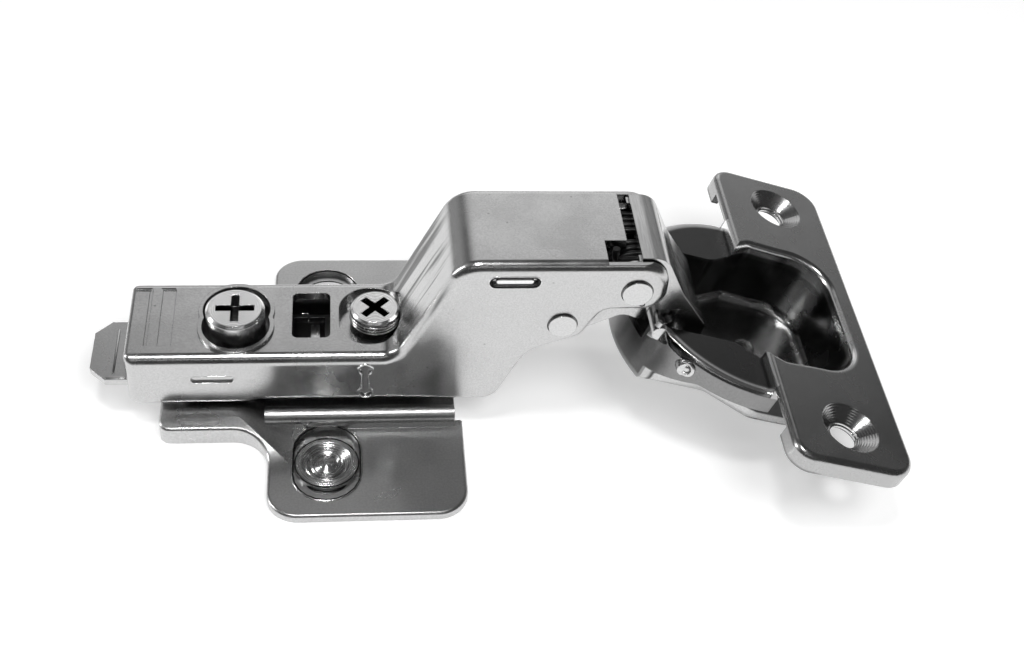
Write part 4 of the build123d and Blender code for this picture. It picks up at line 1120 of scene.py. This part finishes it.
        # short dark lines of painted shade on the rear roof
        for number, ends in enumerate(self.roof_marks):
            line = oblong(*ends, *self.roof_mark_across)
            mark = Piece(f"roof_mark_{number}", "arm", self.dark, roof)
            mark.slab(line, *self.roof_mark_heights)
        base = Axes((0.0, 0.0, BASE_TOP))
        tongue = Piece("sight_tongue", "plate", self.bright, base)
        tongue.slab(oblong(*self.tongue), *self.tongue_heights)
        wire = Piece("sight_wire", "plate", self.bright, base)
        wire.bead(self.wire, self.wire_radius, closed=False)


@dataclass
class LeverDress:
    """The folded end of the release lever.

    Args:
        metal: material of the lever.
        fold: left, right, near and far end of the fold, from the tab's tip.
        fold_heights: its foot and top over the tab, and its eased edge.
        lip: left, right, near and far end of the side lip.
        lip_heights: its foot and top over the tab, and its eased edge.
    """

    metal: bpy.types.Material
    fold: tuple[float, float, float, float] = (3.05, 3.4, -4.5, 4.2)
    fold_heights: Point = (-0.1, 0.1, 0.08)
    lip: tuple[float, float, float, float] = (2.3, 5.0, -5.55, -5.1)
    lip_heights: Point = (-0.1, 0.16, 0.1)

    def build(self) -> None:
        """Makes the raised fold across the tab and its side lip."""
        tab = Axes((LEVER_TAB_TIP, 0.0, LEVER_TAB_TOP))
        for name, ends, heights in (
            ("lever_fold", self.fold, self.fold_heights),
            ("lever_side_lip", self.lip, self.lip_heights),
        ):
            Piece(name, "lever", self.metal, tab).slab(oblong(*ends), *heights)


@dataclass
class CupDress:
    """Collars of the flange's holes, rivets and stop of the cup.

    Args:
        metal: their material.
        hole_depth: depth of a screw hole's throat below the flange's top.
        collars: radius and height of each collar in a hole.
        collar: profile of a collar, about that radius and height.
        rivet_at: place of a rivet in the cup's frame, ahead, to the side and upwards.
        rivet_ring: profile of a rivet's ring.
        rivet_end: profile of its end.
        stop: corners of the stop's inner face, in the cup's frame.
        stop_growth: its outer face, as a multiple of the inner one.
        stop_edge: size of its eased edges.
    """

    metal: bpy.types.Material
    hole_depth: float = 1.75
    collars: tuple[Flat, ...] = ((2.22, -0.25), (2.02, -0.6))
    collar: tuple[Flat, ...] = (
        (-0.12, 0.0),
        (0.12, -0.02),
        (0.14, 0.3),
        (0.0, 0.36),
        (-0.1, 0.3),
    )
    rivet_at: Point = (-11.2, 13.45, -4.0)
    rivet_ring: tuple[Flat, ...] = (
        (0.62, 0.0),
        (1.25, 0.0),
        (1.25, 0.22),
        (1.1, 0.34),
        (0.85, 0.34),
        (0.7, 0.2),
    )
    rivet_end: tuple[Flat, ...] = ((0.0, 0.0), (0.5, 0.0), (0.5, 0.25), (0.3, 0.36), (0.0, 0.38))
    stop: tuple[Point, ...] = (
        (-15.6, -7.9, -4.4),
        (-15.4, -8.2, -1.2),
        (-15.0, -9.0, -0.9),
        (-15.1, -8.8, -4.0),
    )
    stop_growth: float = 1.035
    stop_edge: float = 0.1

    def hole_collars(self) -> None:
        """Makes the collars in the flange's screw holes."""
        ahead, aside = CUP_SCREWS
        for name, side in SIDES:
            hole = cup_axes(ahead, side * aside, -self.hole_depth)
            for number, (radius, low) in enumerate(self.collars):
                ring = [(radius + out, low + up) for out, up in self.collar]
                Piece(f"hole_{name}_collar_{number}", "cup", self.metal, hole).turned(ring)

    def rivets(self) -> None:
        """Makes the ring and the end of each rivet, facing away from the cup's middle."""
        ahead, aside, height = self.rivet_at
        for name, side in SIDES:
            base = cup_axes(ahead, side * aside, height)
            turn = base.matrix().to_3x3()
            facing = turn @ Vector((ahead, side * aside, 0.0)).normalized()
            rivet = Axes(base.origin, tuple(turn @ Vector((0.0, 0.0, 1.0))), tuple(facing))
            for part, profile in (("ring", self.rivet_ring), ("end", self.rivet_end)):
                piece = Piece(f"rivet_{name}_{part}", "cup", self.metal, rivet)
                piece.turned(profile, SMALL_RING_STEPS)

    def skirt_stop(self) -> None:
        """Makes the small stop at the skirt's near corner."""
        shape = bmesh.new()
        grown = self.stop_growth
        inner = [shape.verts.new(spot) for spot in self.stop]
        outer = [shape.verts.new((x * grown, y * grown, z)) for x, y, z in self.stop]
        for ring in (inner, outer):
            shape.faces.new(ring)
        pairs = list(zip(inner, outer))
        for (low, high), (next_low, next_high) in zip(pairs, pairs[1:] + pairs[:1]):
            shape.faces.new((low, next_low, next_high, high))
        bmesh.ops.recalc_face_normals(shape, faces=shape.faces)
        ease(shape, self.stop_edge)
        Piece("skirt_stop", "cup", self.metal, cup_axes()).place(shape)

    def build(self) -> None:
        """Makes the collars, the rivets and the stop."""
        self.hole_collars()
        self.rivets()
        self.skirt_stop()


@dataclass
class CupShell:
    """The drawn cup and its flange, with the cavity's corners tightened.

    Args:
        material: its material.
        drawn: the solid's cavity: half width, end and corner radius, in millimetres.
        wanted: the cavity to show.
        taper: where along the cup the change begins and is full.
        band: distances from the cavity's wall between which points move.
        lowest: height below which no point moves.
        rounds: steps in which a moved point is found.
    """

    material: bpy.types.Material
    drawn: Point = (12.0, 15.4, 8.2)
    wanted: Point = (11.6, 14.8, 5.9)
    taper: Flat = (0.5, 6.0)
    band: Flat = (-2.2, 1.0)
    lowest: float = -11.2
    rounds: int = 6

    @staticmethod
    def signed(spot: Vector, form: Point) -> tuple[float, Vector]:
        """Measures a point against a cavity's outline.

        Args:
            spot: the point in the cup's frame.
            form: the cavity's half width, end and corner radius.

        Returns:
            Its signed distance to the outline, and the outward direction there.
        """
        half, end, corner = form
        apart = Vector((spot.x - (end - corner), abs(spot.y) - (half - corner)))
        side = 1.0 if spot.y >= 0.0 else -1.0
        if apart.x > 0.0 and apart.y > 0.0:
            reach = apart.length
            return reach - corner, Vector((apart.x / reach, side * apart.y / reach))
        if apart.x > apart.y:
            return apart.x - corner, Vector((1.0, 0.0))
        return apart.y - corner, Vector((0.0, side))

    def moved(self, spot: Vector) -> tuple[Vector, float]:
        """Where a point of the solid goes, and how far its normal turns.

        Args:
            spot: the point in the cup's frame, in millimetres.

        Returns:
            The new point, and the turn about the flange's normal.
        """
        away, way = self.signed(spot, self.drawn)
        if not self.band[0] < away < self.band[1] or spot.z < self.lowest:
            return spot, 0.0
        start, full = self.taper
        share = min(1.0, max(0.0, (spot.x - start) / (full - start)))
        share = share * share * (3.0 - 2.0 * share)
        goal = Vector((spot.x, spot.y))
        for _ in range(self.rounds):
            now, out = self.signed(goal, self.wanted)
            goal += (away - now) * out
        _, turned = self.signed(goal, self.wanted)
        angle = math.atan2(way.x * turned.y - way.y * turned.x, way.dot(turned))
        flat = Vector((spot.x, spot.y)).lerp(goal, share)
        return Vector((flat.x, flat.y, spot.z)), angle * share

    @staticmethod
    def merged(source: bpy.types.Mesh) -> tuple[bpy.types.Mesh, list[Vector]]:
        """Copies a mesh with its loose triangles joined.

        Args:
            source: the node's mesh.

        Returns:
            The copy, and the normal that each of its corners had.
        """
        mesh = source.copy()
        mesh.name = "cup_shell"
        layer = mesh.attributes.new("drawn_normal", "FLOAT_VECTOR", "CORNER")
        for row, normal in zip(layer.data, source.corner_normals):
            row.vector = normal.vector
        work = bmesh.new()
        work.from_mesh(mesh)
        bmesh.ops.remove_doubles(work, verts=work.verts, dist=MERGE_WITHIN)
        work.to_mesh(mesh)
        work.free()
        layer = mesh.attributes["drawn_normal"]
        normals = [Vector(row.vector) for row in layer.data]
        mesh.attributes.remove(layer)
        return mesh, normals

    def build(self) -> None:
        """Makes the shell from the node's mesh and stands it in for the node."""
        mesh, normals = self.merged(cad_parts["hinge_cup"].data)
        outward = cup_axes().matrix()
        inward = outward.inverted()
        turns = []
        for vert in mesh.vertices:
            spot, angle = self.moved(inward @ vert.co)
            vert.co = outward @ spot
            turns.append(angle)
        axis = Vector(cup_axes().z_dir)
        corners = [
            Matrix.Rotation(turns[loop.vertex_index], 3, axis) @ normals[loop.index]
            for loop in mesh.loops
        ]
        mesh.materials.clear()
        mesh.materials.append(self.material)
        mesh.normals_split_custom_set([tuple(normal) for normal in corners])
        item = bpy.data.objects.new("cup_shell", mesh)
        bpy.context.scene.collection.objects.link(item)
        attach(item, "cup")
        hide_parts("hinge_cup")
        log.info("cup_shell: %d faces, in place of hinge_cup", len(mesh.polygons))


# ------------------------------------------------------------------ studio
WHITE = (1.0, 1.0, 1.0, 1.0)


@dataclass(frozen=True)
class SkyPatch:
    """A soft bright patch of the surroundings.

    Args:
        azimuth: direction of its middle, in degrees from +Y towards +X.
        elevation: height of its middle over the horizon, in degrees.
        inner: angle from the middle within which it has its full level, in degrees.
        outer: angle at which it has faded out, in degrees.
        level: radiance that it adds.
    """

    azimuth: float
    elevation: float
    inner: float
    outer: float
    level: float

    def direction(self) -> Vector:
        """Returns the unit vector towards the patch's middle."""
        azimuth, elevation = math.radians(self.azimuth), math.radians(self.elevation)
        flat = math.cos(elevation)
        return Vector((math.sin(azimuth) * flat, math.cos(azimuth) * flat, math.sin(elevation)))


@dataclass(frozen=True)
class Lamp:
    """A rectangular soft lamp turned towards the hinge.

    Args:
        name: name of the lamp.
        place: its middle, in millimetres.
        size: width and height, in millimetres.
        power: power in watts.
        shown: whether it shows as a highlight in the metal.
    """

    name: str
    place: Point
    size: Flat
    power: float
    shown: bool = True

    def build(self, target: Point) -> None:
        """Hangs the lamp.

        Args:
            target: the point that it faces, in millimetres.
        """
        data = bpy.data.lights.new(self.name, "AREA")
        data.shape = "RECTANGLE"
        data.size, data.size_y = (v * MM for v in self.size)
        data.energy = self.power
        item = bpy.data.objects.new(self.name, data)
        bpy.context.scene.collection.objects.link(item)
        item.location = Vector(self.place) * MM
        item.visible_glossy = self.shown
        aim = Vector(target) * MM - item.location
        item.rotation_euler = aim.to_track_quat("-Z", "Y").to_euler()


@dataclass(frozen=True)
class View:
    """The camera's place and angles.

    Args:
        eye: camera place, in millimetres.
        yaw: turn of the view about the vertical, in degrees.
        pitch: how far the view looks down, in degrees.
        roll: tilt of the view, in degrees.
        lens: focal length, in millimetres.
        sensor: width of the sensor, in millimetres.
        nearest: where the view begins, in millimetres.
    """

    eye: Point = (2.758, -140.302, 150.019)
    yaw: float = 9.45
    pitch: float = 44.32
    roll: float = 6.15
    lens: float = 49.35
    sensor: float = 36.0
    nearest: float = 10.0

    def build(self) -> None:
        """Makes the camera."""
        yaw, pitch, roll = (math.radians(v) for v in (self.yaw, self.pitch, self.roll))
        ahead = Vector(
            (math.sin(yaw) * math.cos(pitch), math.cos(yaw) * math.cos(pitch), -math.sin(pitch))
        )
        right = Vector((math.cos(yaw), -math.sin(yaw), 0.0))
        up = right.cross(ahead)
        side = math.cos(roll) * right + math.sin(roll) * up
        top = -math.sin(roll) * right + math.cos(roll) * up
        pose = Matrix((side, top, -ahead)).transposed().to_4x4()
        pose.translation = Vector(self.eye) * MM
        data = bpy.data.cameras.new("view")
        data.lens = self.lens
        data.sensor_width = self.sensor
        data.clip_start = self.nearest * MM
        item = bpy.data.objects.new("view", data)
        bpy.context.scene.collection.objects.link(item)
        item.matrix_world = pose
        bpy.context.scene.camera = item


@dataclass
class Studio:
    """Camera, pale floor, surroundings and soft lamps.

    Args:
        view: the camera.
        ambient: radiance of the surroundings away from their bright patches.
        patches: the bright patches.
        lamps: the lamps.
        target: the point that the lamps face, in millimetres.
        floor_level: how bright the floor's own tone is, where 1 is white.
        floor_shade: how much of its brightness comes from the light that falls on it.
        floor_half: half the floor's width, in metres.
        floor_drop: how far it lies under the hinge, in millimetres.
    """

    view: View = View()
    ambient: float = 0.06
    patches: tuple[SkyPatch, ...] = (
        SkyPatch(azimuth=1.0, elevation=30.0, inner=9.0, outer=25.0, level=0.86),
        SkyPatch(azimuth=22.0, elevation=14.0, inner=8.0, outer=30.0, level=0.36),
        SkyPatch(azimuth=-28.0, elevation=8.0, inner=8.0, outer=26.0, level=0.3),
        SkyPatch(azimuth=-75.0, elevation=25.0, inner=8.0, outer=40.0, level=0.3),
    )
    lamps: tuple[Lamp, ...] = (
        Lamp("lamp_floor", (200.0, -240.0, 430.0), (300.0, 300.0), 1.6, shown=False),
        Lamp("lamp_top", (-30.0, -60.0, 520.0), (80.0, 80.0), 0.7),
        Lamp("lamp_front", (0.0, -330.0, 400.0), (420.0, 26.0), 0.06),
        Lamp("lamp_left", (-400.0, 60.0, 240.0), (60.0, 260.0), 0.6),
    )
    target: Point = (20.0, 0.0, 10.0)
    floor_level: float = 0.37
    floor_shade: float = 0.8
    floor_half: float = 3.0
    floor_drop: float = 0.02

    def world(self) -> None:
        """Lights the scene from all round."""
        world = bpy.data.worlds.new("studio")
        bpy.context.scene.world = world
        world.use_nodes = True
        nodes, links = world.node_tree.nodes, world.node_tree.links
        nodes.clear()
        out = nodes.new("ShaderNodeOutputWorld")
        room = nodes.new("ShaderNodeBackground")
        coords = nodes.new("ShaderNodeTexCoord")
        total = None
        for patch in self.patches:
            toward = nodes.new("ShaderNodeVectorMath")
            toward.operation = "DOT_PRODUCT"
            toward.inputs[1].default_value = patch.direction()
            links.new(coords.outputs["Generated"], toward.inputs[0])
            fade = nodes.new("ShaderNodeMapRange")
            fade.interpolation_type = "SMOOTHSTEP"
            fade.inputs["From Min"].default_value = math.cos(math.radians(patch.outer))
            fade.inputs["From Max"].default_value = math.cos(math.radians(patch.inner))
            fade.inputs["To Min"].default_value = 0.0
            fade.inputs["To Max"].default_value = patch.level
            links.new(toward.outputs["Value"], fade.inputs["Value"])
            add = nodes.new("ShaderNodeMath")
            add.operation = "ADD"
            add.inputs[1].default_value = self.ambient
            links.new(fade.outputs["Result"], add.inputs[0])
            if total is not None:
                links.new(total, add.inputs[1])
            total = add.outputs["Value"]
        room.inputs["Color"].default_value = WHITE
        links.new(total, room.inputs["Strength"])
        links.new(room.outputs["Background"], out.inputs["Surface"])

    def floor(self) -> None:
        """Lays the pale floor, which keeps the shadows and shows white in the metal."""
        mesh = bpy.data.meshes.new("floor")
        build = bmesh.new()
        bmesh.ops.create_grid(build, x_segments=1, y_segments=1, size=self.floor_half)
        build.to_mesh(mesh)
        build.free()
        item = bpy.data.objects.new("floor", mesh)
        bpy.context.scene.collection.objects.link(item)
        item.location.z = -self.floor_drop * MM
        mat = bpy.data.materials.new("floor_white")
        mat.use_nodes = True
        nodes, links = mat.node_tree.nodes, mat.node_tree.links
        nodes.clear()
        out = nodes.new("ShaderNodeOutputMaterial")
        matt = nodes.new("ShaderNodeBsdfDiffuse")
        matt.inputs["Color"].default_value = (self.floor_shade,) * 3 + (1,)
        glow = nodes.new("ShaderNodeEmission")
        glow.inputs["Color"].default_value = WHITE
        path = nodes.new("ShaderNodeLightPath")
        seen = path.outputs["Is Camera Ray"]
        for ray in ("Is Glossy Ray", "Is Transmission Ray"):
            either = nodes.new("ShaderNodeMath")
            either.operation = "MAXIMUM"
            links.new(seen, either.inputs[0])
            links.new(path.outputs[ray], either.inputs[1])
            seen = either.outputs["Value"]
        gain = nodes.new("ShaderNodeMath")
        gain.operation = "MULTIPLY"
        gain.inputs[1].default_value = self.floor_level
        links.new(seen, gain.inputs[0])
        links.new(gain.outputs["Value"], glow.inputs["Strength"])
        both = nodes.new("ShaderNodeAddShader")
        links.new(matt.outputs["BSDF"], both.inputs[0])
        links.new(glow.outputs["Emission"], both.inputs[1])
        links.new(both.outputs["Shader"], out.inputs["Surface"])
        mesh.materials.append(mat)

    def build(self) -> None:
        """Makes the whole studio."""
        self.view.build()
        self.world()
        self.floor()
        for lamp in self.lamps:
            lamp.build(self.target)
        bpy.context.scene.view_settings.view_transform = "Standard"


def main() -> None:
    """Builds the studio, dresses every node and adds the fine pieces."""
    logging.basicConfig(level=logging.INFO)
    Studio().build()
    arm = ARM_NICKEL.material()
    plate = PLATE_NICKEL.material()
    cup = CUP_NICKEL.material()
    link = LINK_NICKEL.material()
    inner = INNER_ZINC.material()
    pins = PIN_NICKEL.material()
    screws = SCREW_NICKEL.material()
    seats = SEAT_NICKEL.material()
    wire = SPRING_STEEL.material()
    dark = PAINTED_SHADE.material()
    for node, material in (
        ("mounting_plate", plate),
        ("height_seat_near", seats),
        ("height_seat_far", seats),
        ("clip_base", inner),
        ("front_hook_pin", inner),
        ("lever_pin", inner),
        ("release_lever", arm),
        ("lever_spring", wire),
        ("adjusting_slide", inner),
        ("depth_cam_screw", screws),
        ("side_screw", screws),
        ("hinge_arm", arm),
        ("arm_pin_front", pins),
        ("arm_pin_rear", pins),
        ("closing_spring", wire),
        ("outer_link", link),
        ("inner_link", link),
        ("cup_pin_outer", pins),
        ("cup_pin_inner", pins),
    ):
        dress(node, material)
    SeatDress(seats, dark).build()
    ScrewDress(screws).build()
    # the arm's rims and bar take the brighter screw nickel, which paints highlights on them; the
    # dark pieces are painted shade
    ArmDress(screws, dark, pins).build()
    LeverDress(arm).build()
    CupShell(cup).build()
    CupDress(pins).build()


if __name__ == "__main__":
    main()
